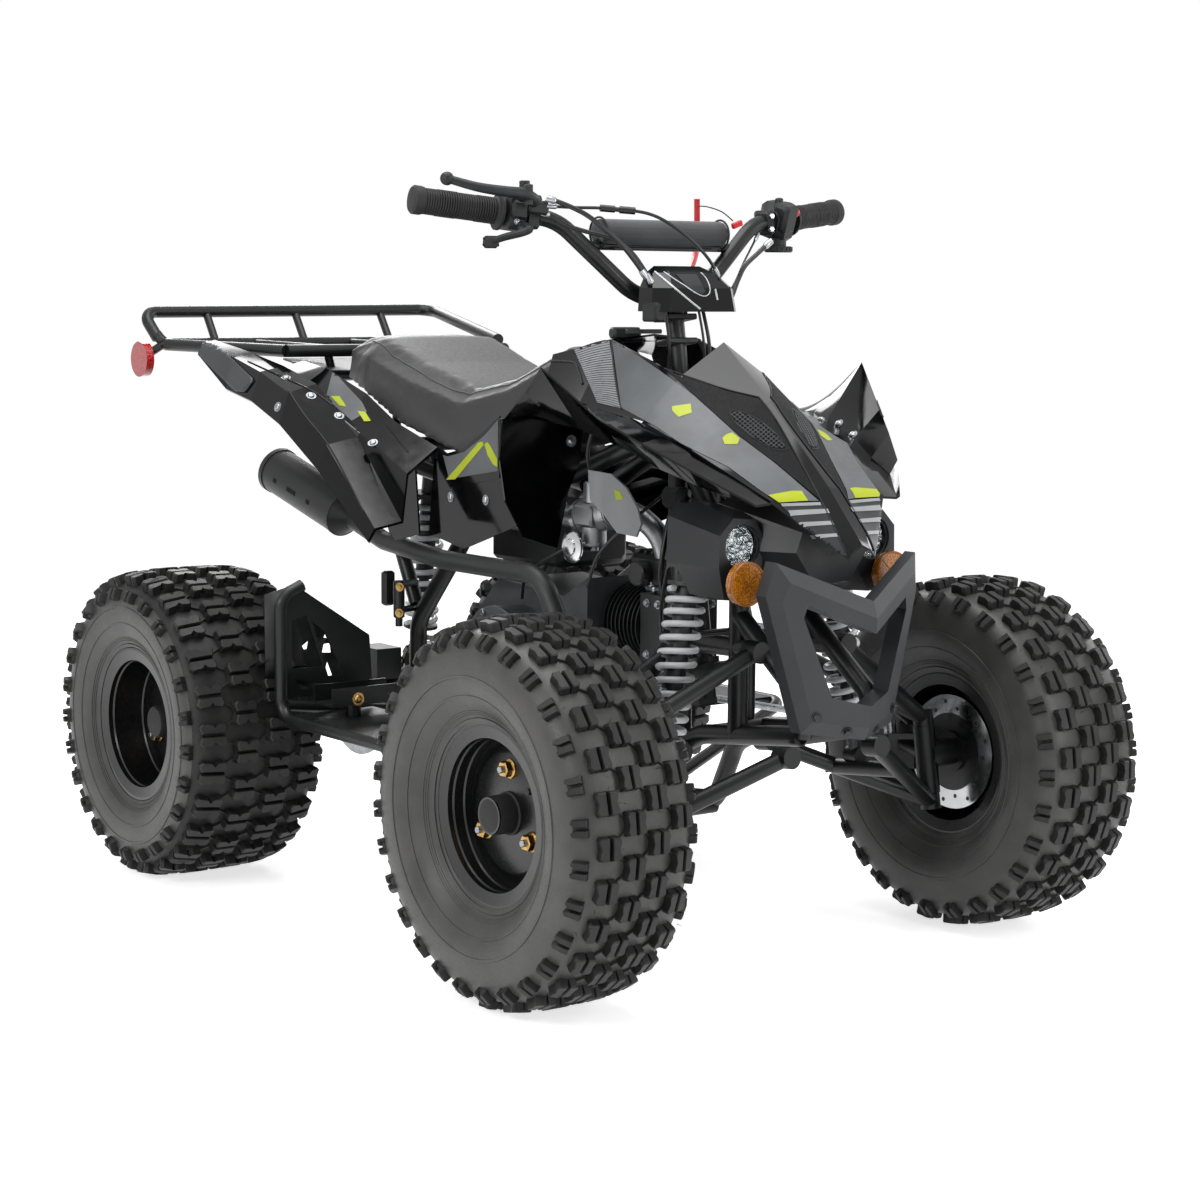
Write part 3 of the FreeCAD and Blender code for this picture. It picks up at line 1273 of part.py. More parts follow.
# Control cables, clipped to the bars and the pod all the way
cable_tables = (
    ((23.4, -23.0, 99.1), (25, -16, 97.4), (28.5, -11.5, 93), (28.2, -7.0, 88)),
)
cable_radius = S.crossbar_radius / 2
cable_parts = [bent_tube(grids(table_shares), cable_radius, S.frame_bend_radius) for table_shares in cable_tables]
cables = joined(cable_parts)
for item in nodes:
    if item.Label in ("controls_right", "instrument_pod", "handlebar", "bar_pad"):
        cables = cables.cut(item.Shape.translated(-middle))
feature("control_cables", max(cables.Solids, key=lambda solid: solid.Volume))

doc.recompute()
for item in doc.Objects:
    if "Invalid" in item.State or "Error" in item.State:
        raise RuntimeError("%s did not build: %s" % (item.Label, item.State))
broken = [item.Label for item in nodes if item.Shape.isNull() or not item.Shape.isValid()]
if broken:
    raise RuntimeError("no valid shape: %s" % ", ".join(broken))

os.makedirs("parts", exist_ok=True)
for item in nodes:
    item.Shape.exportStep("parts/%s.step" % item.Label)
    print("%-22s solids %2d volume %9.0f" % (item.Label, len(item.Shape.Solids), item.Shape.Volume))
print("nodes", len(nodes))
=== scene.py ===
import bmesh
import bpy
import math
import numpy as np
from mathutils import Matrix, Vector
from mathutils.bvhtree import BVHTree
from mathutils.geometry import delaunay_2d_cdt


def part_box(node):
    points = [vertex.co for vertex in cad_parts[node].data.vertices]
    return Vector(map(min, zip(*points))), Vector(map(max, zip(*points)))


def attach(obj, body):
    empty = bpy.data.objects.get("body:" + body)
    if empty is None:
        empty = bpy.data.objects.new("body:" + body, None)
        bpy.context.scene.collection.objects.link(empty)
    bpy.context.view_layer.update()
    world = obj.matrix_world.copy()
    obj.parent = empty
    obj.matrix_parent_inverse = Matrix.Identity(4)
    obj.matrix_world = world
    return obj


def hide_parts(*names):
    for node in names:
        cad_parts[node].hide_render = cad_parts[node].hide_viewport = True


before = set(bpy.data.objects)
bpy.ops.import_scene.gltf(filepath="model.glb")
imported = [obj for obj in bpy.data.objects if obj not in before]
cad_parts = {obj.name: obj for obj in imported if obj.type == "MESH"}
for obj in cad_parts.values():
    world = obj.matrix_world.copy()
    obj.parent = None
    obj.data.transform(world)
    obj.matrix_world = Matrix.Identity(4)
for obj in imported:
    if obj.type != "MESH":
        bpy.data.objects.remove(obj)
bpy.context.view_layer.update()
print("stage: frame loaded,", len(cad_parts), "nodes")

# Youth sport quad bike: satin black tube frame, gloss black and grey panels with lime stripes.
# +X forward, +Y to the rider's left, metres.
mm = 0.001
ahead, upward = np.array([1.0, 0, 0]), np.array([0, 0, 1.0])
axles = {"front": np.array([0.49525, 0.380, 0.2415]), "rear": np.array([-0.40475, 0.367, 0.2285])}
machineShift = 0.04525  # the body grid starts at mid wheelbase, the origin lies under mid length
bothSides = (1, -1)


def cm(*place):
    # a place on the body grid, in centimetres from mid wheelbase, or a row of places, as metres in the frame
    spot = np.asarray(place, float) / 100
    spot[..., 0] += machineShift
    return spot


def unit(way):
    way = np.asarray(way, float)
    return way / np.linalg.norm(way)


def spoke(turnDeg):
    # the direction at an angle in the upright plane along the machine, from straight ahead upwards
    return ahead * math.cos(math.radians(turnDeg)) + upward * math.sin(math.radians(turnDeg))


def linked(name, data):
    thing = bpy.data.objects.new(name, data)
    bpy.context.scene.collection.objects.link(thing)
    return thing


def clearTree(owner):
    owner.use_nodes = True
    owner.node_tree.nodes.clear()
    return owner.node_tree


def addNode(tree, kind, links=None, values=None, **settings):
    # one node with its settings, its sockets' values, and links from other nodes or their sockets
    node = tree.nodes.new(kind)
    for key, value in settings.items():
        setattr(node, key, value)
    for key, value in (values or {}).items():
        node.inputs[key].default_value = value
    for key, source in (links or {}).items():
        tree.links.new(source.outputs[0] if hasattr(source, "outputs") else source, node.inputs[key])
    return node


# camera: the photograph's, fitted to the wheels, the bar ends and the rack

cameraUser = {
    "place": (3.04139, -2.18480, 0.88160), "turnDeg": 53.123, "dropDeg": 6.953, "rollDeg": 0.469,
    "lensMm": 77.94, "sensorMm": 36.0, "pictureSize": 1200,
}
turn, drop, roll = (math.radians(cameraUser[key]) for key in ("turnDeg", "dropDeg", "rollDeg"))
viewForward = Vector((-math.sin(turn) * math.cos(drop), math.cos(turn) * math.cos(drop), -math.sin(drop)))
level = Vector((math.cos(turn), math.sin(turn), 0))
overLevel = level.cross(viewForward)
viewRight = math.cos(roll) * level + math.sin(roll) * overLevel
viewUp = -math.sin(roll) * level + math.cos(roll) * overLevel
lens = bpy.data.cameras.new("camera")
lens.lens, lens.sensor_width, lens.sensor_fit = cameraUser["lensMm"], cameraUser["sensorMm"], "HORIZONTAL"
camera = linked("camera", lens)
camera.matrix_world = (Matrix.Translation(cameraUser["place"])
                       @ Matrix((viewRight, viewUp, -viewForward)).transposed().to_4x4())
bpy.context.scene.camera = camera


def pixelRay(right, down):
    # the view ray through one pixel of the photograph's 1200 by 1200 frame
    half = cameraUser["pictureSize"] / 2
    perPixel = cameraUser["sensorMm"] / cameraUser["lensMm"] / cameraUser["pictureSize"]
    way = viewForward + viewRight * ((right - half) * perPixel) + viewUp * ((half - down) * perPixel)
    return Vector(cameraUser["place"]), way.normalized()


def spotAt(right, down, yCm):
    # the view ray's meeting with the plane y, which stands along the machine
    place, way = pixelRay(right, down)
    return np.array(place + way * ((yCm / 100 - place.y) / way.y))


def spotAhead(right, down, xCm):
    # the view ray's meeting with the plane x, which stands across the machine
    place, way = pixelRay(right, down)
    return np.array(place + way * ((xCm / 100 - place.x) / way.x))


# studio: area lamps, a white world that lights less than the camera sees, and a white floor

studioUser = {
    "lamps": (  # name, place, size, power in watts
        ("overheadBox", (0.1, -0.2, 2.8), (2.2, 1.4), 46), ("frontStrip", (3.0, 0.9, 1.5), (0.5, 2.0), 26),
        ("sideStrip", (0.6, -3.0, 1.7), (2.2, 0.5), 34), ("rearStrip", (-2.6, 1.0, 2.0), (1.0, 1.5), 34),
        ("leftBox", (0.6, 3.0, 1.6), (2.0, 0.8), 20), ("edgeStrip", (0.9, -1.3, 2.5), (2.4, 0.1), 9)),
    "aim": (0, 0, 0.45), "glossShare": 0.72, "fillLevel": 0.34, "floorReach": 30.0, "cardGrey": 0.9,
    "cardGlow": 0.71,
}
for name, place, size, power in studioUser["lamps"]:
    data = bpy.data.lights.new(name, "AREA")
    data.shape, data.size, data.size_y, data.energy = "RECTANGLE", size[0], size[1], power
    lamp = linked(name, data)
    lamp.location = place
    lamp.rotation_euler = (Vector(studioUser["aim"]) - Vector(place)).to_track_quat("-Z", "Y").to_euler()

world = bpy.data.worlds.new("studio")
bpy.context.scene.world = world
tree = clearTree(world)
path = addNode(tree, "ShaderNodeLightPath").outputs
seen = addNode(tree, "ShaderNodeMath", {0: path["Is Camera Ray"], 1: path["Is Transmission Ray"]},
               operation="MAXIMUM")
glossy = addNode(tree, "ShaderNodeMath", {0: path["Is Glossy Ray"]}, {1: studioUser["glossShare"]},
                 operation="MULTIPLY")
both = addNode(tree, "ShaderNodeMath", {0: seen, 1: glossy}, operation="MAXIMUM")
strength = addNode(tree, "ShaderNodeMapRange", {"Value": both}, {"To Min": studioUser["fillLevel"]})
back = addNode(tree, "ShaderNodeBackground", {"Strength": strength}, {"Color": (1, 1, 1, 1)})
addNode(tree, "ShaderNodeOutputWorld", {"Surface": back})

floorMesh = bpy.data.meshes.new("floor")
far = studioUser["floorReach"]
floorMesh.from_pydata([(-far, -far, 0), (far, -far, 0), (far, far, 0), (-far, far, 0)], [], [(0, 1, 2, 3)])
floor = linked("floor", floorMesh)
floorMesh.materials.append(bpy.data.materials.new("pale_floor"))
tree = clearTree(floorMesh.materials[0])
# white card: plain diffuse where the lamps light it, with a share of its own white for the camera
card = addNode(tree, "ShaderNodeBsdfDiffuse", {}, {"Color": (*[studioUser["cardGrey"]] * 3, 1)})
glow = addNode(tree, "ShaderNodeEmission", {}, {"Color": (1, 1, 1, 1), "Strength": studioUser["cardGlow"]})
path = addNode(tree, "ShaderNodeLightPath").outputs
lit = addNode(tree, "ShaderNodeAddShader", {0: card, 1: glow})
seen = addNode(tree, "ShaderNodeMath", {0: path["Is Camera Ray"], 1: path["Is Glossy Ray"]},
               operation="MAXIMUM")
mix = addNode(tree, "ShaderNodeMixShader", {0: seen, 1: card, 2: lit})
addNode(tree, "ShaderNodeOutputMaterial", {"Surface": mix})
bpy.context.scene.view_settings.view_transform = "Standard"
print("stage: camera, lamps and floor")


# materials: every one starts from what the real surface is and how it was made

def linear(hexText):
    # sRGB hex value to linear colour
    parts = [int(hexText[i:i + 2], 16) / 255 for i in (1, 3, 5)]
    return tuple(p / 12.92 if p <= 0.04045 else ((p + 0.055) / 1.055) ** 2.4 for p in parts) + (1.0,)


def startMaterial(name, colour, roughness, metallic=0.0, sockets=None):
    material = bpy.data.materials.new(name)
    tree = clearTree(material)
    shader = addNode(tree, "ShaderNodeBsdfPrincipled", {}, {
        "Base Color": linear(colour), "Roughness": roughness, "Metallic": metallic, **(sockets or {})})
    addNode(tree, "ShaderNodeOutputMaterial", {"Surface": shader})
    return material, tree, shader, addNode(tree, "ShaderNodeTexCoord").outputs["Object"]


def grain(tree, where, sizeMm):
    # noise whose blobs are about sizeMm across
    return addNode(tree, "ShaderNodeTexNoise", {"Vector": where}, {"Scale": 0.6 / (sizeMm * mm), "Detail": 3.0})


def cellsOf(tree, where, sizeMm, feature):
    return addNode(tree, "ShaderNodeTexVoronoi", {"Vector": where}, {"Scale": 1 / (sizeMm * mm)},
                   feature=feature)


def varyColour(tree, shader, noise, dark, light, low=0.35, high=0.65):
    ramp = addNode(tree, "ShaderNodeMapRange", {"Value": noise}, {"From Min": low, "From Max": high})
    mix = addNode(tree, "ShaderNodeMix", {"Factor": ramp}, {6: linear(dark), 7: linear(light)},
                  data_type="RGBA")
    tree.links.new(mix.outputs[2], shader.inputs["Base Color"])


def varyRoughness(tree, shader, noise, low, high):
    ramp = addNode(tree, "ShaderNodeMapRange", {"Value": noise},
                   {"From Min": 0.3, "From Max": 0.7, "To Min": low, "To Max": high})
    tree.links.new(ramp.outputs[0], shader.inputs["Roughness"])


def bumpFrom(tree, shader, height, depthMm, strength=1.0):
    bump = addNode(tree, "ShaderNodeBump", {"Height": height}, {"Strength": strength, "Distance": depthMm * mm})
    tree.links.new(bump.outputs[0], shader.inputs["Normal"])


def plainFinish(name, dark, light, roughness, grainMm, depthMm, metallic=0.0, mottleMm=40, ior=None):
    # a moulded, cast or painted surface: slow colour drift, fine grain in gloss and relief
    material, tree, shader, where = startMaterial(name, dark, sum(roughness) / 2, metallic,
                                                  ior and {"IOR": ior})
    varyColour(tree, shader, grain(tree, where, mottleMm), dark, light)
    fine = grain(tree, where, grainMm)
    varyRoughness(tree, shader, fine, *roughness)
    bumpFrom(tree, shader, fine, depthMm)
    return material


# material name, darkest and lightest colour, roughness range, grain and its depth in mm, metallic, mottle in mm
# and index of refraction
finishUser = {
    # satin powder coat on steel tube: orange-peel pebbling about 1.2 mm across
    "powderCoat": ("satin_powder_coat", "#0f1011", "#161718", (0.30, 0.42), 1.2, 0.05, 0, 40, 1.42),
    # charcoal textured powder coat on the sheet steel bumper
    "charcoalCoat": ("charcoal_powder_coat", "#242629", "#2b2d30", (0.42, 0.55), 0.9, 0.06),
    # gloss black ABS, injection moulded: near mirror with faint waviness
    "glossAbs": ("gloss_black_abs", "#050506", "#08090a", (0.06, 0.12), 14, 0.03, 0, 40, 1.38),
    # matt black polypropylene with a fine spark-eroded grain
    "mattPoly": ("matt_black_polypropylene", "#131416", "#1a1b1d", (0.42, 0.55), 0.8, 0.05, 0, 40, 1.42),
    # mask pods: dark grey acrylic-styrene, satin from the mould
    "maskPlastic": ("satin_dark_grey_asa", "#1d1e20", "#242528", (0.32, 0.42), 1.0, 0.04, 0, 40, 1.42),
    # moulded ribs on the tank cover, silver-grey film under clear coat
    "ribVinyl": ("silver_grey_film", "#8d9093", "#9a9da0", (0.25, 0.35), 6, 0.02),
    # printed vinyl graphics over ABS in mid grey, dark grey, pale grey and lime: satin clear film
    "greyVinyl": ("grey_printed_vinyl", "#55585a", "#626568", (0.36, 0.46), 6, 0.02, 0, 40, 1.4),
    "darkVinyl": ("dark_printed_vinyl", "#232527", "#2c2e30", (0.34, 0.44), 6, 0.02, 0, 40, 1.4),
    "paleVinyl": ("pale_printed_vinyl", "#8e9193", "#9da0a2", (0.34, 0.44), 6, 0.02, 0, 40, 1.4),
    "limeVinyl": ("lime_printed_vinyl", "#a4b01c", "#b2be26", (0.34, 0.44), 6, 0.02, 0, 40, 1.4),
    # vulcanised rubber: dusty charcoal, fine mould grain
    "tyreRubber": ("vulcanised_rubber", "#353534", "#434241", (0.38, 0.55), 1.5, 0.12, 0, 30),
    # knobs keep the mould's fresh black; on the rear tyres it also darkens the carcass between the knobs as
    # painted shade
    "treadRubber": ("tread_rubber", "#161616", "#262524", (0.42, 0.58), 1.2, 0.12, 0, 16, 1.38),
    # satin black enamel on pressed steel rims
    "rimEnamel": ("satin_black_enamel", "#08090a", "#0e0f10", (0.26, 0.36), 1.0, 0.03),
    # soft moulded rubber on the grips: dull and dry
    "gripRubber": ("soft_black_rubber", "#0d0d0e", "#151516", (0.6, 0.75), 0.8, 0.05),
    # sand-cast alloy: pebbled skin, blasted and clear coated
    "castAlloy": ("sand_cast_alloy", "#8f9193", "#a2a4a6", (0.34, 0.48), 1.4, 0.12, 1.0),
    # polished alloy on discs and the domed cap: sharp bright reflections
    "brightAlloy": ("polished_alloy", "#b9bbbd", "#c8cacb", (0.12, 0.2), 5, 0.02, 1.0),
    # black paint on cast alloy: the casting's pebbles show through
    "blackAlloy": ("black_painted_alloy", "#0f1011", "#17181a", (0.38, 0.5), 1.6, 0.1),
    # zinc plate on nuts and bolts, with yellow chromate or clear
    "goldZinc": ("yellow_zinc_plate", "#a3854f", "#bb9a62", (0.24, 0.34), 2, 0.02, 1.0, 6),
    "brightZinc": ("bright_zinc_plate", "#9b9ea1", "#b0b3b6", (0.25, 0.36), 2, 0.02, 1.0, 6),
    # turned steel axle and studs: fine tool marks dull the shine
    "turnedSteel": ("turned_steel", "#7c7f82", "#909396", (0.22, 0.34), 1.0, 0.02, 1.0, 12),
    # heat-proof black paint on exhaust steel
    "exhaustPaint": ("heat_proof_paint", "#151617", "#1d1e1f", (0.42, 0.56), 1.0, 0.06),
    # pale grey powder coat on spring wire
    "springCoat": ("pale_powder_coat", "#cfd1d3", "#dbdddf", (0.25, 0.36), 2, 0.02),
    # rolled chain steel darkened by oil
    "chainSteel": ("oiled_chain_steel", "#3c3a37", "#524f4a", (0.32, 0.45), 1.0, 0.03, 1.0, 8),
    # painted shade: deep matt black that stands in for the shadow inside a recess or a slot
    "paintedShadeBlack": ("matt_duct_black", "#060607", "#09090a", (0.6, 0.75), 2, 0.03, 0, 40, 1.3),
    # scoop plate and folds: charcoal ABS with a satin film
    "scoopPlate": ("charcoal_satin_abs", "#1c1d1f", "#232527", (0.42, 0.52), 3, 0.03, 0, 40, 1.3),
    # unpainted satin black ABS on the fender tips
    "satinAbs": ("satin_black_abs", "#303234", "#3a3c3e", (0.3, 0.4), 2, 0.04),
    # woven wire in the vents, painted black
    "meshWire": ("black_wire_mesh", "#2c2e30", "#3a3c3e", (0.35, 0.45), 1, 0.02),
    # PVC sheath on the control cables
    "cableRubber": ("black_pvc_sheath", "#0c0c0d", "#131314", (0.3, 0.4), 2, 0.02),
    # clear-coated grey casting on the engine covers
    "coverAlloy": ("grey_painted_casting", "#46494b", "#55585a", (0.36, 0.48), 1.4, 0.08, 0.4),
    # light grey paint on the engine shroud
    "shroudPaint": ("light_grey_paint", "#808385", "#8c8f91", (0.3, 0.42), 3, 0.03),
    # red and amber plastic, moulded glossy
    "redPlastic": ("red_moulded_plastic", "#b8131a", "#c81a20", (0.25, 0.35), 2, 0.02),
    "amberPlastic": ("amber_moulded_plastic", "#8f5208", "#a8620c", (0.18, 0.28), 2, 0.02),
}
finishes = {key: plainFinish(*row) for key, row in finishUser.items()}

# expanded vinyl over foam: leather-like grain about 1.8 mm, drawn as relief
material, tree, shader, where = startMaterial("black_seat_vinyl", "#232325", 0.5, 0, {"Sheen Weight": 0.12})
varyColour(tree, shader, grain(tree, where, 60), "#212123", "#29292b")
varyRoughness(tree, shader, grain(tree, where, 3), 0.42, 0.56)
bumpFrom(tree, shader, cellsOf(tree, where, 1.8, "DISTANCE_TO_EDGE"), 0.14, 0.7)
finishes["seatVinyl"] = material

# woven nylon over foam tube: crossed threads about 1.2 mm apart, as two crossing waves
material, tree, shader, where = startMaterial("woven_nylon_cover", "#2c2e30", 0.75, 0, {"Sheen Weight": 0.3})
waves = [addNode(tree, "ShaderNodeTexWave", {"Vector": where}, {"Scale": 0.314 / (1.2 * mm)},
                 bands_direction=way) for way in ("X", "Y")]
weave = addNode(tree, "ShaderNodeMath", {k: wave.outputs["Fac"] for k, wave in enumerate(waves)},
                operation="MAXIMUM")
varyColour(tree, shader, grain(tree, where, 30), "#26282a", "#34363a")
bumpFrom(tree, shader, weave, 0.2, 0.8)
finishes["padCover"] = material

# moulded prism reflectors: dark cell walls between small bright cube corners
for key, name, deep, bright, cellMm in (("amberLens", "amber_prism_reflector", "#8f4a06", "#e2951f", 2.4),
                                        ("redLens", "red_prism_reflector", "#8d1013", "#d0252a", 2.2)):
    material, tree, shader, where = startMaterial(name, bright, 0.14, 0, {"Coat Weight": 0.8, "IOR": 1.49})
    cells = cellsOf(tree, where, cellMm, "F1")
    varyColour(tree, shader, cells, bright, deep, 0.1, 0.75)
    bumpFrom(tree, shader, cells, 0.5, 0.6)
    finishes[key] = material

# clear polycarbonate lens: smooth, barely wavy
material, tree, shader, where = startMaterial("clear_polycarbonate", "#fafcfc", 0.0, 0,
                                              {"IOR": 1.3, "Transmission Weight": 1.0})
bumpFrom(tree, shader, grain(tree, where, 12), 0.02)
finishes["lensGlass"] = material

# vacuum-metallised bowl with pressed facets
material, tree, shader, where = startMaterial("metallised_reflector", "#e2e5e7", 0.06, 1.0)
bumpFrom(tree, shader, cellsOf(tree, where, 8, "F1"), 4)
finishes["mirrorBowl"] = material

finishNodes = {
    "powderCoat": "frame rear_subframe rear_rack swingarm footrest_right footrest_left a_arms steering_column"
                  " handlebar knuckle_left knuckle_right",
    "glossAbs": "front_cowl tank_cover front_fender_right front_fender_left side_covers rear_fender_right"
                " rear_fender_left instrument_pod",
    "tyreRubber": "tyre_front_left tyre_front_right tyre_rear_left tyre_rear_right",
    "rimEnamel": "rim_front_left rim_front_right rim_rear_left rim_rear_right",
    "blackAlloy": "engine_cylinder rear_shock rear_brake front_shocks",
    "mattPoly": "tail_cover controls_right controls_left", "charcoalCoat": "front_bumper",
    "maskPlastic": "front_mask", "mirrorBowl": "headlamps", "amberLens": "amber_reflectors",
    "redLens": "side_reflectors tail_lamp", "seatVinyl": "seat", "coverAlloy": "engine_crankcase",
    "castAlloy": "intake", "exhaustPaint": "exhaust_pipe muffler", "chainSteel": "chain",
    "springCoat": "front_springs rear_spring", "padCover": "bar_pad", "gripRubber": "grips control_cables",
    "brightZinc": "tie_rod_left tie_rod_right", "turnedSteel": "rear_axle",
}
for finish, names in finishNodes.items():
    for name in names.split():
        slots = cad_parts[name].data.materials
        slots.clear()
        slots.append(finishes[finish])
print("stage: materials")


# mesh helpers: whole arrays of points in, one Blender mesh out

def ringFaces(rings, around, closed=False):
    # quads between neighbouring rings of points; where it is closed, the last ring joins the first
    r, c = np.meshgrid(np.arange(rings if closed else rings - 1), np.arange(around), indexing="ij")
    after, beside = (r + 1) % rings, (c + 1) % around
    quads = np.stack([r * around + c, after * around + c, after * around + beside, r * around + beside], -1)
    return quads.reshape(-1, 4).tolist()


def smoothCurve(controls, count):
    # Catmull-Rom: each span is the cubic through its two ends, with tangents from the neighbours
    controls = np.asarray(controls, float)
    last = len(controls) - 1
    t = np.linspace(0, last, count)
    i = np.minimum(t.astype(int), last - 1)
    u = (t - i)[:, None]
    before, here, after, beyond = (controls[np.clip(i + k, 0, last)] for k in (-1, 0, 1, 2))
    return 0.5 * (2 * here + (after - before) * u + (2 * before - 5 * here + 4 * after - beyond) * u ** 2
                  + (3 * here - before - 3 * after + beyond) * u ** 3)


def hexProfile(radius, height, chamfer):
    return [(0, 0), (0, radius), (height - chamfer, radius), (height, radius - chamfer), (height, 0)]


def roundProfile(radius, height, crown):
    # a button: straight wall, then an elliptic crown
    arc = np.linspace(0, np.pi / 2, 7)
    top = np.stack([height - crown + crown * np.sin(arc), radius * (0.35 + 0.65 * np.cos(arc))], 1)
    return [(0, 0), (0, radius)] + top.tolist() + [(height, 0)]


def cleaned(mesh, mergeMm):
    # double points merged and the faces turned outwards
    work = bmesh.new()
    work.from_mesh(mesh)
    bmesh.ops.remove_doubles(work, verts=work.verts, dist=mergeMm * mm)
    bmesh.ops.recalc_face_normals(work, faces=work.faces)
    work.to_mesh(mesh)
    work.free()


class Heap:
    # many small shapes gathered into one mesh; sizes are in mm, places in metres; each call gives back the heap
    def __init__(self):
        self.points, self.faces, self.count = [], [], 0

    def add(self, points, faces, flip=False):
        points = np.asarray(points, float).reshape(-1, 3)
        self.points.append(points)
        self.faces += [[i + self.count for i in (reversed(f) if flip else f)] for f in faces]
        self.count += len(points)
        return self

    def tube(self, path, radiusMm, around=12, closed=False, flip=False):
        # a circle carried along the path, turned as little as possible from one point to the next
        path = np.asarray(path, float)
        tangent = np.roll(path, -1, 0) - np.roll(path, 1, 0) if closed else np.gradient(path, axis=0)
        tangent /= np.linalg.norm(tangent, axis=1, keepdims=True)
        side = np.cross(tangent[0], [0.0, 0.0, 1.0])
        if np.linalg.norm(side) < 0.05:
            side = np.cross(tangent[0], [0.0, 1.0, 0.0])
        sides = []
        for way in tangent:
            side = unit(side - way * np.dot(side, way))
            sides.append(side)
        sides = np.array(sides)
        angle = np.linspace(0, 2 * np.pi, around, endpoint=False)[None, :, None]
        ring = np.cos(angle) * sides[:, None] + np.sin(angle) * np.cross(tangent, sides)[:, None]
        radius = np.broadcast_to(np.asarray(radiusMm, float) * mm, (len(path),))[:, None, None]
        faces = [f[::-1] for f in ringFaces(len(path), around, closed)]
        if not closed:
            faces += [list(range(around))[::-1], list(range((len(path) - 1) * around, len(path) * around))]
        return self.add(path[:, None] + ring * radius, faces, flip)

    def turned(self, profile, centre, axis, around=24):
        # a profile of (along the axis, radius) pairs spun about the axis through the centre
        profile, axis = np.asarray(profile, float) * mm, unit(axis)
        side = np.cross(axis, [0.0, 0.0, 1.0])
        if np.linalg.norm(side) < 0.1:
            side = np.cross(axis, [1.0, 0.0, 0.0])
        side = unit(side)
        angle = np.linspace(0, 2 * np.pi, around, endpoint=False)[:, None]
        ring = np.cos(angle) * side + np.sin(angle) * np.cross(axis, side)
        points = np.asarray(centre) + profile[:, :1, None] * axis + profile[:, 1:2, None] * ring[None]
        return self.add(points, [f[::-1] for f in ringFaces(len(profile), around)])

    def block(self, centre, along, up, halfLong, halfWide, halfTall, bevel):
        # a bevelled block: an octagon of the two cross sizes carried through four stations
        along = unit(along)
        up = unit(np.asarray(up, float) - along * np.dot(up, along))
        wide, cut, stations = np.cross(up, along), bevel * 0.8, []
        for reach, inset in ((-halfLong, bevel), (-halfLong + bevel, 0), (halfLong - bevel, 0),
                             (halfLong, bevel)):
            w, t = halfWide - inset, halfTall - inset
            ring = ((w, -t + cut), (w, t - cut), (w - cut, t), (-w + cut, t), (-w, t - cut), (-w, -t + cut),
                    (-w + cut, -t), (w - cut, -t))
            stations.append([np.asarray(centre) + (along * reach + wide * a + up * b) * mm for a, b in ring])
        return self.add(np.array(stations), ringFaces(4, 8) + [list(range(8))[::-1], list(range(24, 32))])

    def screw(self, centre, axis, radiusMm, washerMm, sink=0.6):
        # washer and domed head, sunk a little into the panel
        base = np.asarray(centre, float) - unit(axis) * sink * mm
        self.turned([(0, 0), (0, washerMm), (sink + 1.0, washerMm), (sink + 1.0, 0)], base, axis, 20)
        return self.turned(roundProfile(radiusMm, sink + 4.0, 2.4), base, axis, 20)

    def bolt(self, centre, axis, radiusMm, heightMm, washerMm, washerTall=1.4):
        self.turned([(0, 0), (0, washerMm), (washerTall, washerMm), (washerTall, 0)], centre, axis, 20)
        return self.turned(hexProfile(radiusMm, heightMm + washerTall, 0.8), centre, axis, 6)

    def plate(self, pixels, yCm, thickMm):
        # a flat plate cut to the pixels' outline on the upright plane y, and its mirror image
        outline = np.array([spotAt(right, down, yCm) for right, down in pixels])
        count = len(outline)
        walls = [[i, (i + 1) % count, (i + 1) % count + count, i + count] for i in range(count)]
        push = np.array([0, -math.copysign(thickMm * mm, yCm), 0])
        for side in bothSides:
            self.add(np.concatenate([outline, outline + push]) * (1, side, 1),
                     walls + [list(range(count)), list(range(2 * count - 1, count - 1, -1))])
        return self

    def piece(self, name, finish, slot, smoothDeg=40, body="chassis", replaced=(), closed=True):
        mesh = bpy.data.meshes.new(name)
        mesh.from_pydata(np.concatenate(self.points).tolist(), [], self.faces)
        mesh.validate()
        if closed:
            cleaned(mesh, 0.002)
        mesh.polygons.foreach_set("use_smooth", np.ones(len(mesh.polygons), bool))
        if smoothDeg < 180:
            mesh.set_sharp_from_angle(angle=math.radians(smoothDeg))
        piece = linked(name, mesh)
        mesh.materials.append(finishes[finish])
        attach(piece, body)
        if replaced:
            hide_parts(*replaced)
        return piece


# tyres: a moulded carcass with staggered knobs, side knobs, sipes and vent hairs

tyreUser = {
    # sizes in mm: knob is its height, rows and sideRow are their distances from the middle of the tread,
    # and the section is half the carcass as (radius, half width) pairs from the bead to the middle
    "front": {"radius": 241.5, "knob": 12, "pitches": 28, "rows": (17, 52), "sideRow": 84,
              "size": {"knob": (31, 27), "side": (24, 21)}, "slit": 1.8, "slitAround": True,
              "section": ((113, 61), (124, 67), (140, 79), (162, 88), (184, 89), (205, 85), (219, 75),
                          (226, 60), (229, 32), (229.5, 0))},
    "rear": {"radius": 228.5, "knob": 14, "pitches": 25, "rows": (26, 76), "sideRow": 113,
             "size": {"knob": (35, 40), "side": (24, 17)}, "slit": 2.6, "slitAround": False,
             "section": ((113, 88), (122, 93), (136, 101), (156, 105.7), (176, 107), (192, 104.2), (204, 96),
                         (211, 80), (214, 44), (214.5, 0))},
    # draft and bevel of a knob's walls and its sunk foot, then the sidewall's bands as (inset, width, height)
    "draft": 1.6, "bevel": 1.4, "sink": 3.0, "wall": 6, "sectionPoints": 57, "around": 168, "hairs": 190,
    "bands": ((5, 5, 1.6), (13, 1.2, 0.9), (16, 1.2, 0.9), (19, 1.2, 0.9), (41, 2.5, 0.9), (66, 3.0, 1.1)),
}


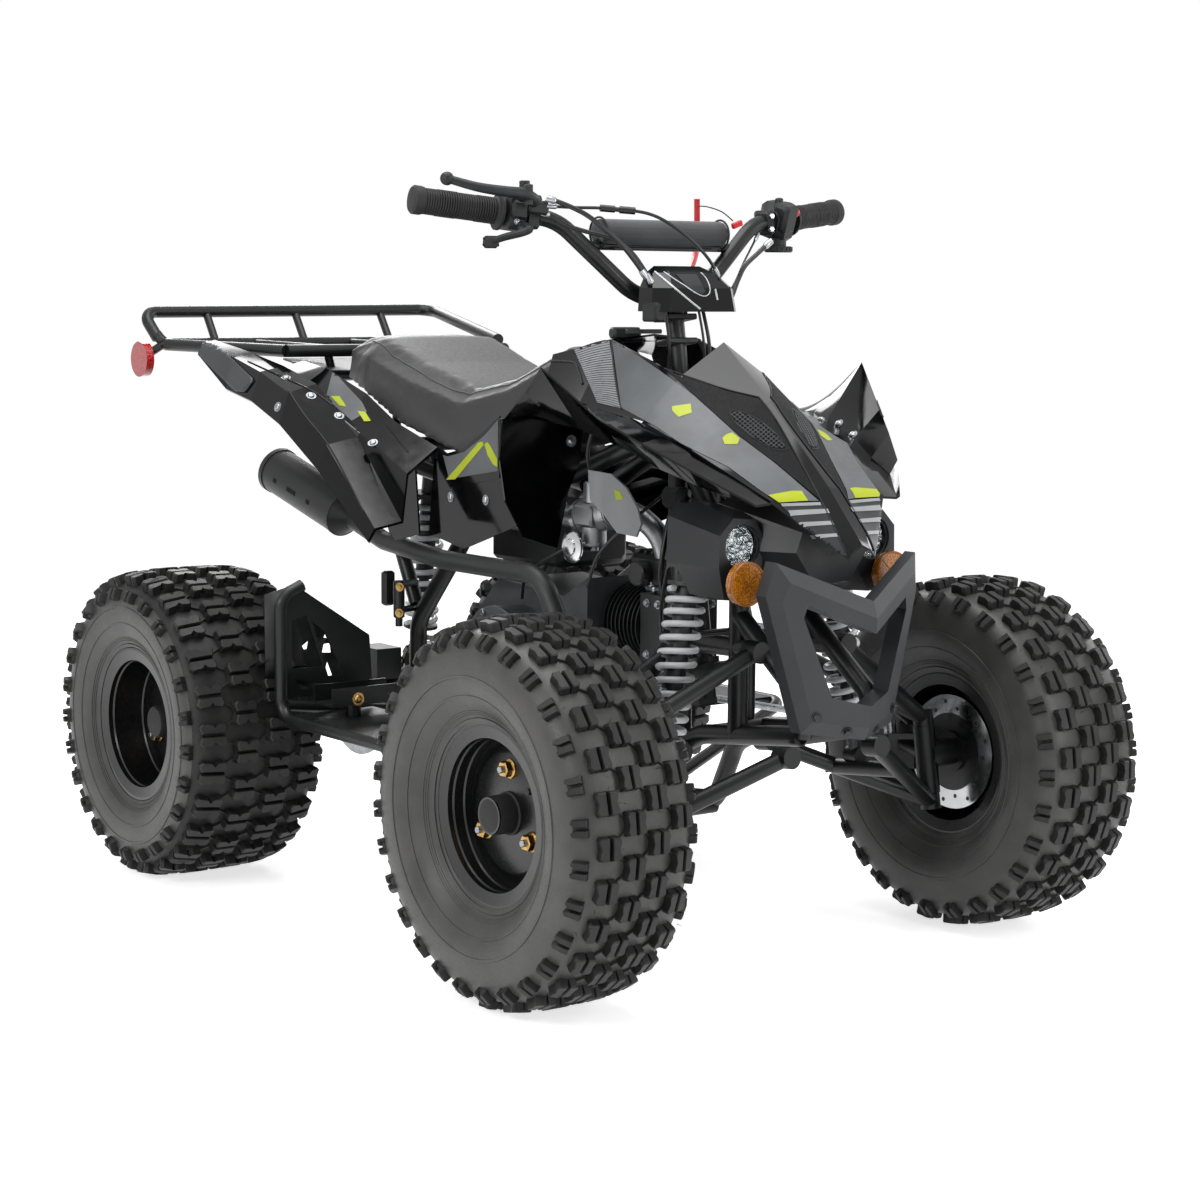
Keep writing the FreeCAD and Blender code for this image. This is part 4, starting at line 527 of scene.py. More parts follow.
def knobRings(outline, height):
    # four rings of one outline: sunk base, foot, edge of the bevel and the top
    outline = np.asarray(outline, float)
    middle = outline.mean(0)
    size = np.linalg.norm(outline - middle, axis=1).mean()
    draft, bevel = tyreUser["draft"], tyreUser["bevel"]
    steps = ((-draft * 0.6, -tyreUser["sink"]), (0, 0.5), (draft, height - bevel), (draft + bevel, height))
    rings = np.array([middle + (outline - middle) * (1 - shrink / size) for shrink, _ in steps])
    return rings, np.array([np.full(len(outline), level) for _, level in steps])


def knobShapes(user, kind):
    # outlines of one knob, in mm around and mm across, split by its sipe
    long, wide = np.array(user["size"][kind]) / 2
    slit = user["slit"] / 2
    if kind == "side":
        half = [(-long, -wide), (-slit, -wide), (-slit, wide * 0.35), (-long * 0.55, wide), (-long, wide * 0.8)]
    elif user["slitAround"]:
        half = [(-long, slit), (long, slit), (long, wide * 0.8), (long * 0.72, wide), (0, wide * 0.82),
                (-long * 0.72, wide), (-long, wide * 0.8)]
        return [half, [(u, -v) for u, v in half[::-1]]]
    else:
        half = [(slit, -wide * 0.86), (long * 0.72, -wide), (long, -wide * 0.82), (long * 0.92, -wide * 0.25),
                (long * 0.56, 0), (long * 0.92, wide * 0.25), (long, wide * 0.82), (long * 0.72, wide),
                (slit, wide * 0.86)]
    return [half, [(-u, v) for u, v in half[::-1]]]


def makeTyre(kind, node, side, body):
    user, centre, heap = tyreUser[kind], axles[kind], Heap()
    half = np.array(user["section"], float)
    curve = smoothCurve(np.concatenate([half, half[-2::-1] * (1, -1)]), tyreUser["sectionPoints"])
    along = np.concatenate([[0], np.cumsum(np.linalg.norm(np.diff(curve, axis=0), axis=1))])
    along -= along[-1] / 2
    slope = np.gradient(curve, axis=0)
    slope /= np.linalg.norm(slope, axis=1, keepdims=True)
    out = np.stack([-slope[:, 1], slope[:, 0]], 1)
    out *= np.sign(out[len(out) // 2, 0])

    def spots(radius, width, angle):
        # cylinder coordinates about the axle to the frame, with the outer face to the given side
        x, z = centre[0] + radius * np.sin(angle) * mm, centre[2] + radius * np.cos(angle) * mm
        return np.stack(np.broadcast_arrays(x, centre[1] * side + width * side * mm, z), -1)

    def onTyre(u, v, height):
        # mm around the tread, mm across it from the middle and mm proud of it
        radius, width = (np.interp(v, along, curve[:, k]) + height * np.interp(v, along, out[:, k])
                         for k in (0, 1))
        return spots(radius, width, u / user["radius"])

    around, knob, sideRow = tyreUser["around"], user["knob"], user["sideRow"]
    angle = np.linspace(0, 2 * np.pi, around, endpoint=False) * user["radius"]
    # carcass skin, its inner wall and the two bead lips between them
    points = onTyre(angle[None], along[:, None], 0)
    wall = spots((curve[:, 0] - tyreUser["wall"])[:, None], (curve[:, 1] * 0.94)[:, None],
                 (angle / user["radius"])[None])
    heap.add(points, ringFaces(len(along), around), side < 0).add(wall, ringFaces(len(along), around), side > 0)
    for edge in (0, len(along) - 1):
        heap.add(np.stack([points[edge], wall[edge]]), ringFaces(2, around), (side > 0) == (edge == 0))
    carcassFaces = len(heap.faces)
    # knobs in four staggered rows and a row of side knobs on each shoulder, every one on a low base
    pitch = 2 * np.pi * user["radius"] / user["pitches"]
    start = (np.arange(user["pitches"]) * pitch)[:, None, None]
    inner, outer = user["rows"]
    for shape, row, stagger, way in (("knob", inner, 0, 1), ("knob", -inner, 0.5, -1), ("knob", outer, 0.5, 1),
                                     ("knob", -outer, 1, -1), ("side", sideRow, 1, 1),
                                     ("side", -sideRow, 0.5, -1)):
        parts = [(outline, knob if shape == "knob" else knob * 0.8) for outline in knobShapes(user, shape)]
        long, wide = np.array(user["size"][shape]) / 2 * 0.86
        for outline, height in parts + [([(-long, -wide), (long, -wide), (long, wide), (-long, wide)],
                                         knob * 0.35)]:
            rings, heights = knobRings(outline, height)
            faces = ringFaces(4, len(outline)) + [list(range(3 * len(outline), 4 * len(outline)))]
            for one in onTyre(start + (rings[..., 0] + stagger * pitch), row + way * rings[..., 1], heights):
                heap.add(one, faces, side * way > 0)
    # tie ribs between staggered knobs of neighbouring rows: 4.4 mm wide at the foot, 45% of that at the top
    for near, far, stagger in ((inner, outer, 0), (-inner, -outer, 0.5), (inner, -inner, 0)):
        for lean in (-1, 1):
            ends = np.array([[stagger * pitch, near], [stagger * pitch + lean * pitch * 0.5, far]])
            way = unit(ends[1] - ends[0])
            wide = np.array([-way[1], way[0]]) * 2.2
            outline = np.array([ends[0] - wide, ends[1] - wide, ends[1] + wide, ends[0] + wide])
            spine = ends[[0, 1, 1, 0]]
            rings = np.stack([outline, spine + (outline - spine) * 0.45])
            heights = np.array([[-1.0] * 4, [knob * 0.32] * 4])
            (a, b), (c, d) = outline[1] - outline[0], outline[2] - outline[0]
            for one in onTyre(start + rings[..., 0], rings[..., 1], heights):
                heap.add(one, ringFaces(2, 4) + [[4, 5, 6, 7]], (a * d - b * c > 0) == (side > 0))
    # vent hairs: thin rubber spikes left by the mould, on knob tops and shoulders
    chance, hairs = np.random.default_rng(7), tyreUser["hairs"]
    low, high = np.array(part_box(node)) + np.array([[0.3], [-0.3]]) * mm
    aroundAt = chance.uniform(0, 2 * np.pi * user["radius"], hairs)
    acrossAt = chance.uniform(-sideRow * 1.12, sideRow * 1.12, hairs)
    reach = chance.uniform(6, 11, hairs) + knob * 0.75
    lean = chance.uniform(-3, 3, (hairs, 2))
    foot = np.array([(0.55, 0), (-0.28, 0.48), (-0.28, -0.48)])
    for u, v, tall, (leanU, leanV) in zip(aroundAt, acrossAt, np.minimum(reach, knob + 3), lean):
        spike = onTyre(np.append(u + foot[:, 0], u + leanU), np.append(v + foot[:, 1], v + leanV),
                       np.array([*[knob * 0.5] * 3, tall]))
        heap.add(np.clip(spike, low, high), [[0, 1, 3], [1, 2, 3], [2, 0, 3]], side > 0)
    # sidewall rings: bead band, three fine rings by the rim and two raised bands
    treadFaces = len(heap.faces)
    for outward in bothSides:
        for inset, wide, proud in tyreUser["bands"]:
            v = outward * (along[-1] - inset) + np.array([-wide / 2 - 0.6, -wide / 2, wide / 2, wide / 2 + 0.6])
            band = onTyre(angle[None], v[:, None], np.array([-0.6, proud, proud, -0.6])[:, None])
            heap.add(band, ringFaces(4, around), side < 0)
    tyre = heap.piece(node + "_tread", "tyreRubber", "tyre_rubber", 35, body, (node,), closed=False)
    tyre.data.materials.append(finishes["treadRubber"])
    kinds = np.zeros(len(tyre.data.polygons), int)
    kinds[carcassFaces:treadFaces] = 1
    if kind == "rear":
        # painted shade: the carcass between the rear knobs is as black as the knobs, standing in for the shade
        # that falls between them
        below = np.abs((along[1:] + along[:-1]) / 2) < sideRow - user["size"]["side"][1] / 2
        kinds[:len(below) * around][np.repeat(below, around)] = 1
    tyre.data.polygons.foreach_set("material_index", kinds)


for sideName, side in (("left", 1), ("right", -1)):
    makeTyre("front", "tyre_front_" + sideName, side, "wheel_front_" + sideName)
    makeTyre("rear", "tyre_rear_" + sideName, side, "rear_axle")
print("stage: tyres")


# suspension springs: round wire wound between the seats

springUser = {
    "coil": 22.5, "wire": 4.2, "turns": 12, "startShare": 0.2, "endShare": 0.86,
    "front": (((43.2, 11, 56), (43.6, 16.9, 25.2)), ((43.2, -11, 56), (43.6, -16.9, 25.2))),
    "rear": (((-34.6, 0, 61.6), (-38.7, 0, 31)),),
}
for kind in ("front", "rear"):
    heap = Heap()
    for top, foot in springUser[kind]:
        # helix: centre line plus coil radius turned evenly, wound a little closer at each end
        top, foot = cm(*top), cm(*foot)
        length, way = np.linalg.norm(foot - top), unit(foot - top)
        side = unit(np.cross(way, [1.0, 0, 0]))
        wire, coil = springUser["wire"] * mm, springUser["coil"] * mm
        t = np.linspace(0, 1, springUser["turns"] * 28 + 1)
        low, high = springUser["startShare"] * length + wire, springUser["endShare"] * length - wire
        rise = low + (high - low) * (0.8 * t + 0.2 * (0.5 * (1 - np.cos(np.pi * t))))
        angle = (2 * np.pi * springUser["turns"] * t)[:, None]
        heap.tube(top + rise[:, None] * way
                  + coil * (np.cos(angle) * side + np.sin(angle) * np.cross(way, side)),
                  springUser["wire"], 12)
    heap.piece(kind + "_spring_wire", "springCoat", "spring_white", 60,
               replaced=("front_springs" if kind == "front" else "rear_spring",))
print("stage: springs")


# soft parts: the seat cushion and the bar pad are swollen by a cloth run from slightly smaller shapes

softUser = {
    "seat": {"piece": "seat_cushion", "voxelMm": 6, "shrinkMm": 3.0, "capMm": 7, "fill": 0.8, "heldBelow": -0.6,
             "looks": ("seatVinyl", "chassis", "seat_vinyl")},
    "bar_pad": {"piece": "bar_pad_cover", "voxelMm": 4, "shrinkMm": 2.0, "capMm": 5, "fill": 0.9,
                "heldBelow": -2, "looks": ("padCover", "steering", "pad_grey")},
    "pressure": 4.0, "stiffness": 25, "pinStiffness": 4, "frames": 20,
}


def bakedMesh(piece):
    # the piece with its modifiers applied, as a new mesh
    graph = bpy.context.evaluated_depsgraph_get()
    return bpy.data.meshes.new_from_object(piece.evaluated_get(graph), depsgraph=graph)


def meshColumn(mesh, name):
    values = np.empty(len(mesh.vertices) * 3)
    mesh.vertices.foreach_get(name, values)
    return values.reshape(-1, 3)


def swell(piece, user):
    # remesh, draw in along the normals, blow up as cloth for 20 frames, then cap how far a point went
    remesh = piece.modifiers.new("remesh", "REMESH")
    remesh.mode, remesh.voxel_size = "VOXEL", user["voxelMm"] * mm
    piece.data = bakedMesh(piece)
    piece.modifiers.clear()
    normals = meshColumn(piece.data, "normal")
    heldDown = normals[:, 2] < user["heldBelow"]
    start = meshColumn(piece.data, "co") - normals * user["shrinkMm"] * mm * (1 - heldDown)[:, None]
    piece.data.vertices.foreach_set("co", start.ravel())
    piece.data.update()
    held = piece.vertex_groups.new(name="held")
    held.add(np.nonzero(heldDown)[0].tolist(), 1.0, "REPLACE")
    cloth = piece.modifiers.new("cloth", "CLOTH")
    settings = cloth.settings
    settings.use_pressure, settings.uniform_pressure_force = True, softUser["pressure"]
    settings.effector_weights.gravity = 0
    settings.tension_stiffness = settings.compression_stiffness = softUser["stiffness"]
    settings.vertex_group_mass, settings.pin_stiffness = "held", softUser["pinStiffness"]
    cloth.point_cache.frame_start, cloth.point_cache.frame_end = 1, softUser["frames"]
    for step in range(1, softUser["frames"] + 1):
        bpy.context.scene.frame_set(step)
        bpy.context.evaluated_depsgraph_get()
    moved = meshColumn(bakedMesh(piece), "co") - start
    bpy.context.scene.frame_set(1)
    piece.modifiers.clear()
    piece.vertex_groups.clear()
    far, cap = np.linalg.norm(moved, axis=1, keepdims=True), user["capMm"] * mm
    piece.data.vertices.foreach_set("co", (start + moved * cap * np.tanh(far / cap)
                                           / np.maximum(far, 1e-9)).ravel())
    piece.data.update()
    print("stage: swollen", piece.name, "furthest point", round(float(far.max() / mm), 1), "mm")


for node in ("seat", "bar_pad"):
    user = softUser[node]
    # a CAD mesh is loose triangles: the copy is merged into a closed skin
    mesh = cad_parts[node].data.copy()
    cleaned(mesh, 0.02)
    mesh.materials.clear()
    piece = linked(user["piece"], mesh)
    swell(piece, user)
    finish, body, slot = user["looks"]
    piece.data.polygons.foreach_set("use_smooth", np.ones(len(piece.data.polygons), bool))
    piece.data.materials.append(finishes[finish])
    rounder = piece.modifiers.new("rounder", "SUBSURF")
    rounder.levels = rounder.render_levels = 1
    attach(piece, body)
    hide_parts(node)
print("stage: seat and bar pad")


# projected trim: seams, films and beads are placed by the photograph's pixels on the panel that carries them

def panelTree(names):
    points, faces, count = [], [], 0
    for name in names.split():
        mesh = bakedMesh(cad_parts.get(name) or bpy.data.objects[name])
        points += [v.co.copy() for v in mesh.vertices]
        faces += [[i + count for i in face.vertices] for face in mesh.polygons]
        count = len(points)
    return BVHTree.FromPolygons(points, faces)


def meet(tree, place, way):
    # where a ray meets the panel, and the panel's normal on the side that the ray comes from
    hit, normal, _, _ = tree.ray_cast(place, way)
    return (None, None) if hit is None else (np.array(hit),
                                             np.array(normal if normal.dot(way) < 0 else -normal))


def onPanel(tree, pixels, liftMm):
    # each pixel's view ray meets the panel, and the point stands off it along its normal; None where it misses
    found = [meet(tree, *pixelRay(*pixel)) for pixel in pixels]
    return [None if hit is None else hit + normal * liftMm * mm for hit, normal in found]


def dropped(tree, spots, liftMm):
    # grid places dropped straight down on a surface
    down = [meet(tree, Vector(cm(*spot)) + Vector((0, 0, 0.1)), Vector((0, 0, -1)))[0] for spot in spots]
    return np.array([hit + upward * liftMm * mm for hit in down if hit is not None])


# the cover's side panels are welted to its top along the shoulders, with one fold across where the nose rises
seamUser = {
    "shoulder": ((-37.5, 9.4, 84), (-33, 10.7, 84), (-22, 10.9, 80), (-14, 10.2, 78), (-8, 9.0, 78),
                 (-2, 7.7, 80), (4, 6.6, 82), (8.5, 5.8, 84)),
    "fold": ((-9.0, -9.2, 78), (-7.4, -5, 78), (-6.8, 0, 78), (-7.4, 5, 78), (-9.0, 9.2, 78)),
}
seatTree, seams = panelTree("seat_cushion"), Heap()
for side in bothSides:
    seams.tube(dropped(seatTree, smoothCurve(seamUser["shoulder"], 90) * (1, side, 1), -0.5), 1.5, 8)
seams.tube(dropped(seatTree, smoothCurve(seamUser["fold"], 40), -0.8), 1.4, 8)
seams.piece("seat_piping", "seatVinyl", "seat_vinyl", 180)
print("stage: seams")


# films: printed vinyl graphics, cut to an outline and laid on the moulded panels of both sides

def inside(spots, outline):
    # which spots lie inside an outline, by the even or odd number of its edges to their right
    here, after = outline[None], np.roll(outline, -1, 0)[None]
    x, y = spots[:, :1], spots[:, 1:]
    rise = np.where(after[..., 1] == here[..., 1], 1e-9, after[..., 1] - here[..., 1])
    crossed = (here[..., 1] > y) != (after[..., 1] > y)
    leftOf = x < here[..., 0] + (y - here[..., 1]) * (after[..., 0] - here[..., 0]) / rise
    return (crossed & leftOf).sum(1) % 2 == 1


def filmMesh(tree, outline, liftMm, stepPx):
    # the outline and a grid of points inside it are joined up flat, then laid on the panel
    corners, edge = np.array(outline, float), []
    for here, after in zip(corners, np.roll(corners, -1, 0)):
        count = max(1, int(np.linalg.norm(after - here) / stepPx))
        edge.append(here + (after - here) * np.arange(count)[:, None] / count)
    edge = np.concatenate(edge)
    spans = (np.arange(a + stepPx / 2, b, stepPx) for a, b in zip(corners.min(0), corners.max(0)))
    inner = np.stack(np.meshgrid(*spans), -1).reshape(-1, 2)
    gap = np.linalg.norm(inner[:, None] - edge[None], axis=2).min(1) > stepPx * 0.45
    flat = np.concatenate([edge, inner[inside(inner, corners) & gap]])
    ring = [(i, (i + 1) % len(edge)) for i in range(len(edge))]
    found, _, faces, _, _, _ = delaunay_2d_cdt([Vector(p) for p in flat], ring, [], 1, 1e-5)
    spots = onPanel(tree, found, liftMm)
    used = {i: k for k, i in enumerate(i for i, s in enumerate(spots) if s is not None)}
    points, kept = np.array([s for s in spots if s is not None]), []
    for face in faces:
        if all(i in used for i in face):
            face = [used[i] for i in face]
            a, b, c = points[face]
            # a face that spans a step from one panel to another is left out, and the rest look at the camera
            if max(np.linalg.norm(a - b), np.linalg.norm(b - c), np.linalg.norm(c - a)) < 0.02:
                looks = np.dot(np.cross(b - a, c - a), a - np.array(cameraUser["place"])) < 0
                kept.append(face if looks else face[::-1])
    return points, kept


def layFilms(name, nodes, finish, outlines, liftMm, stepPx=2.5, slot="panel_grey", body="chassis",
             sides=bothSides):
    tree, heap = panelTree(nodes), Heap()
    for outline in outlines:
        points, faces = filmMesh(tree, outline, liftMm, stepPx)
        for side in sides:
            heap.add(points * (1, side, 1), faces, side < 0)
    return heap.piece(name, finish, slot, 30, body, closed=False)


def layBeads(name, nodes, finish, lines, radiusMm, liftMm, count, slot="black_plastic", body="chassis",
             sides=bothSides):
    # a thin round bead along smooth lines through pixels, ended where it would jump to another panel
    tree, heap = panelTree(nodes), Heap()
    for pixels in lines:
        line = np.array([s for s in onPanel(tree, smoothCurve(pixels, count), liftMm) if s is not None])
        jumps = np.linalg.norm(np.diff(line, axis=0), axis=1)
        if jumps.max() > 0.03:
            line = line[:int(np.argmax(jumps)) + 1]
        for side in sides:
            heap.tube(line * (1, side, 1), radiusMm, 6, flip=side < 0)
    heap.piece(name, finish, slot, 180, body)


hoodUser = {
    "greySide": ((611.7, 337.3), (661.6, 372), (694, 395.9), (739.6, 437), (774.3, 463), (818.7, 501),
                 (807.9, 501), (778.6, 502.8), (761.3, 491.3), (728.8, 467.4), (681, 443.6), (655, 426),
                 (621.4, 407.8)),
    "limeMarks": (((672, 406.7), (690.8, 404.1), (691.9, 413.2), (678.5, 417.6), (672.4, 411)),
                  ((722.3, 438.2), (726.2, 434.9), (732, 432.8), (739.6, 438.8), (737.4, 444.7),
                   (724.4, 444.7)),
                  ((767.8, 495.6), (791.6, 491.3), (801.4, 491.3), (807.9, 501), (778.6, 502.8))),
    "noseBands": (((780.4, 503.9), (819.8, 502.6), (820.9, 505.6), (781.9, 506.9)),
                  ((787.7, 510.8), (827.4, 509.1), (829.6, 513.4), (790.6, 516.2)),
                  ((798.2, 522.7), (831.8, 521.2), (833.9, 524.9), (801.4, 527.1)),
                  ((809, 535.3), (837.2, 533.6), (839.4, 536.8), (811.6, 539))),
    "noseField": ((779, 503.5), (821, 502.2), (847, 555.5), (828, 554.5)),
    "seams": (((611.5, 335), (613.5, 365), (618, 395), (621.5, 409)),
              ((612, 335.5), (661.6, 370.5), (694, 394.5), (739.6, 435.5), (774.3, 461.5), (820, 500.5))),
    "recess": ((665, 369), (726, 391), (757, 398.5), (765, 404), (784, 436), (820, 500), (774.3, 462),
               (739.6, 436), (694, 395)),
    "vent": ((728.8, 413.2), (737.4, 411), (757, 419.7), (774.3, 432.7), (787.3, 450), (774.3, 450),
             (754.8, 439.3), (737.4, 426.2)),
    "ventMiddle": (757, 431), "wireStep": 5.2, "wireRadius": 0.7, "wireLift": 1.6,
    "edges": (((665, 369), (694, 379), (726, 389.5), (759, 397.5)),
              ((759, 397.5), (776, 420), (800, 462), (822, 503), (846, 553)),
              ((728.8, 413.2), (737.4, 411), (757, 419.7), (774.3, 432.7), (787.3, 450)),
              ((728.8, 413.2), (737.4, 426.2), (754.8, 439.3), (774.3, 450), (787.3, 450))),
}
layFilms("hood_grey_film", "front_cowl", "greyVinyl", (hoodUser["greySide"],), 0.5)
layFilms("hood_nose_film", "front_cowl front_mask", "darkVinyl", (hoodUser["noseField"],), 0.5)
layFilms("hood_lime_film", "front_cowl front_mask", "limeVinyl", hoodUser["limeMarks"], 1.0, 2.0)
layFilms("nose_pale_bands", "front_cowl front_mask", "paleVinyl", hoodUser["noseBands"], 1.0, 2.0)

rearUser = {
    "greyFilm": ((333, 370), (344, 383), (362, 402), (367, 412), (352, 421), (326, 398)),
    "limeMarks": (((331, 396.5), (339.6, 396.5), (346.8, 407), (339.6, 406)),
                  ((357.7, 411.4), (365.4, 412.2), (371.1, 421.4), (364.4, 421.8))),
    "tip": ((195, 351), (210, 340.5), (232, 358), (253, 378), (254, 381.5), (245.5, 392.5), (236, 391.5),
            (214, 370)),
    "edges": (((386, 424.3), (397, 438), (408, 452)),
              ((248, 361.5), (283, 377.5), (315, 392.5), (340, 412), (355, 427), (369, 452)),
              ((288, 390), (305, 415.5), (332, 451), (364, 512))),
}
layFilms("rear_grey_film", "rear_fender_right", "greyVinyl", (rearUser["greyFilm"],), 0.5)
layFilms("rear_lime_film", "rear_fender_right", "limeVinyl", rearUser["limeMarks"], 1.0, 1.8)
print("stage: films")


# raised trim: fine ribs on the tank cover, its gasket and the seam to the hood

tankUser = {
    "ribs": 28, "ribDip": 0.8, "leftEnds": ((574, 350), (597.5, 401.5)),
    "rightEnds": ((609, 339.5), (619, 407)), "film": ((574, 349), (609, 338), (620, 408), (597.5, 402.5)),
    "gasket": ((550, 361), (573, 362.5), (578.7, 371.7), (582.5, 384)),
}
share = np.linspace(0, 1, tankUser["ribs"])[:, None]
leftEnds, rightEnds = ((1 - share) * ends[0] + share * ends[1]
                       for ends in np.array([tankUser["leftEnds"], tankUser["rightEnds"]]))
ribLines = np.stack([leftEnds, (leftEnds + rightEnds) / 2 - (0, tankUser["ribDip"]), rightEnds], 1)
layFilms("tank_rib_film", "tank_cover front_cowl", "ribVinyl", (tankUser["film"],), 0.5)
layBeads("tank_ribs", "tank_cover front_cowl", "darkVinyl", ribLines, 0.55, 0.5, 14, "silver_grey")
layBeads("hood_seams", "front_cowl tank_cover", "mattPoly", hoodUser["seams"], 1.2, 0.2, 60)
layBeads("tank_gasket", "tank_cover", "gripRubber", (tankUser["gasket"],), 1.8, 0.4, 30)
print("stage: trim")


# wheels: pressed centre, hex nuts on a three-stud circle, rubber hub cap, valve, brake disc

wheelUser = {
    "front": {"halfWidth": 60, "dish": 40}, "rear": {"halfWidth": 90, "dish": 72}, "raise": 9,
    "studCircle": 55, "nut": 10.6, "capRadius": 24.5, "valveCircle": 86, "valveTurn": 28.648,
    "disc": (-45.2, -38.8, 54, 79.5), "holeCircles": (62, 70),
}


def dressWheel(kind, name, side, body):
    axis, middle = np.array([0.0, side, 0.0]), axles[kind] * (1, side, 1)
    half = wheelUser[kind]["halfWidth"]
    face = half - wheelUser[kind]["dish"]
    top = face + wheelUser["raise"]
    # stepped centre: outer cone, shoulder, raised flange for the nuts
    pressed = Heap().turned([(face - 1, 20), (face + 0.8, 94), (face + 1.6, 94), (face + 2.2, 84),
                             (top - 2, 77), (top, 73), (top, 22), (face - 1, 20)], middle, axis, 72)
    # bead humps inside the barrel and a rolled outer lip
    for at in (face + 12, half - 12):
        pressed.turned([(at - 3, 95.2), (at, 92.9), (at + 3, 95.2), (at, 96), (at - 3, 95.2)], middle, axis, 96)
    lip = np.linspace(0, 2 * np.pi, 13)
    pressed.turned(np.stack([half - 1.6 + 1.5 * np.cos(lip), 112 + 1.9 * np.sin(lip)], 1), middle, axis, 96)
    pressed.piece("rim_press_" + name, "rimEnamel", "rim_black", 35, body)
    nuts, studs = Heap(), Heap()
    for turn in (90, 210, 330):
        foot = middle + wheelUser["studCircle"] * mm * spoke(turn) + axis * top * mm
        nuts.turned([(-0.5, 0), (-0.5, 12.5), (1.6, 12.5), (2.6, 10.8), (2.6, 0)], foot, axis)
        nuts.turned(hexProfile(wheelUser["nut"], 12, 1.4), foot, axis, 6)
        studs.turned([(0, 0), (0, 4.6), (15.5, 4.6), (16.5, 3.8), (16.5, 0)], foot, axis, 16)
    nuts.piece("wheel_nuts_" + name, "goldZinc", "bare_steel", 35, body)
    studs.piece("wheel_studs_" + name, "turnedSteel", "bare_steel", 35, body)
    reach, cap = min(face + 43, half + 1), wheelUser["capRadius"]
    Heap().turned([(top - 1, 0), (top - 1, 27), (top + 3, 27), (top + 4, cap), (reach - 5, cap - 0.6),
                   (reach - 1.5, 22), (reach, 17), (reach + 0.4, 0)], middle, axis, 48).piece(
        "hub_cap_" + name, "gripRubber", "grip_rubber", 40, body)
    Heap().turned([(face, 0), (face, 6), (face + 6, 5), (face + 8, 3.6), (face + 28, 3.2), (face + 28, 4.2),
                   (face + 37, 4.2), (face + 38, 0)],
                  middle + wheelUser["valveCircle"] * mm * spoke(wheelUser["valveTurn"]), axis, 14).piece(
        "valve_" + name, "gripRubber", "grip_rubber", 40, body)
    if kind == "front":
        low, high, inner, outer = wheelUser["disc"]
        Heap().turned([(low, inner), (low, outer), (high, outer), (high, inner), (low, inner)],
                      middle, axis, 72).piece(
            "brake_disc_" + name, "brightAlloy", "bare_steel", 35, body)
        drilled = Heap()
        for count in range(18):
            hole = middle + wheelUser["holeCircles"][count % 2] * mm * spoke(count * 20)
            drilled.turned([(low - 0.2, 0), (low - 0.2, 3), (high + 0.2, 3), (high + 0.2, 0)], hole, axis, 12)
        drilled.piece("disc_holes_" + name, "blackAlloy", "bare_steel", 35, body)


for sideName, side in (("left", 1), ("right", -1)):
    dressWheel("front", "front_" + sideName, side, "wheel_front_" + sideName)
    dressWheel("rear", "rear_" + sideName, side, "rear_axle")
print("stage: wheels")


# headlamps: clear dome, faceted bowl, bulb and bezel in each pod; rims and mould lines of the amber reflectors

lampUser = {"centre": (47.5, 11, 55.7), "radius": 26.4, "wall": 0.4, "amber": (54.2, 12.2, 51.3)}
bowls, domes, bezels, bulbs, rims, crosses = (Heap() for _ in range(6))
reach, arc = np.linspace(0, 1, 9), np.linspace(0, np.pi / 2, 9)
dome = np.stack([42 + 5.5 * np.cos(arc), lampUser["radius"] * np.sin(arc)], 1)
inner = np.stack([40.4 + 5.3 * np.cos(arc), (lampUser["radius"] - lampUser["wall"]) * np.sin(arc)], 1)[::-1]
for side in bothSides:
    back = cm(*lampUser["centre"]) * (1, side, 1)
    bowls.turned([*zip(4 + 34 * reach ** 2, 3 + 23 * reach), (41, 27), (2, 27), (2, 3), (4, 3)],
                 back, ahead, 40)
    domes.turned([*dome, *inner], back, ahead, 48)
    bezels.turned([(39, 26.2), (39, 29.6), (46, 29.6), (47.4, 28.4), (46.2, 26.6), (39, 26.2)], back, ahead, 48)
    bulbs.turned(roundProfile(5.5, 24, 6), back + ahead * 5 * mm, ahead, 20)
    back = cm(*lampUser["amber"]) * (1, side, 1)
    rims.turned([(8, 24.8), (8, 28.2), (9.6, 28.2), (10.2, 27.2), (10.2, 25.6), (8, 24.8)], back, ahead, 48)
    for way in ((0, 1, 1), (0, -1, 1)):
        crosses.block(back + ahead * 9.0 * mm, way, ahead, 25, 0.8, 0.6, 0.3)
bowls.piece("lamp_bowls", "mirrorBowl", "lamp_glass", 20, replaced=("headlamps",))
domes.piece("lamp_lenses", "lensGlass", "lamp_glass", 60)
bezels.piece("lamp_bezels", "mattPoly", "black_plastic", 40)
bulbs.piece("lamp_bulbs", "lensGlass", "lamp_glass", 60)
rims.piece("amber_rims", "amberPlastic", "amber_lens", 40)
crosses.piece("amber_cross_lines", "amberPlastic", "amber_lens", 40)
print("stage: lamps")


# hood scoop: a flat film of painted shade where the dark recess lies, with wire mesh in its vent, on both sides of
# the ridge

# the recess is no hollow: a flat black film on the cowl, painted shade for its depth
layFilms("hood_recess_painted_shade", "front_cowl", "paintedShadeBlack", (hoodUser["recess"],), 0.8, 2.0)
cowlTree, wires = panelTree("front_cowl"), Heap()
t, vent = np.linspace(-40, 40, 61), np.array(hoodUser["vent"])
for lean in (1, -1):
    for shift in np.arange(-90, 110, hoodUser["wireStep"]):
        # straight runs across the vent, kept where they are inside its outline
        line = np.stack([t * lean * 0.9 + shift, t * 0.75], 1) + hoodUser["ventMiddle"]
        spots = [s for s in onPanel(cowlTree, line[inside(line, vent)], hoodUser["wireLift"]) if s is not None]
        if len(spots) > 3:
            for side in bothSides:
                wires.tube(np.array(spots) * (1, side, 1), hoodUser["wireRadius"], 5)
wires.piece("hood_vent_mesh", "meshWire", "black_plastic", 180)
layBeads("hood_edges", "front_cowl", "scoopPlate", hoodUser["edges"], 1.1, 0.6, 50)
print("stage: scoop")


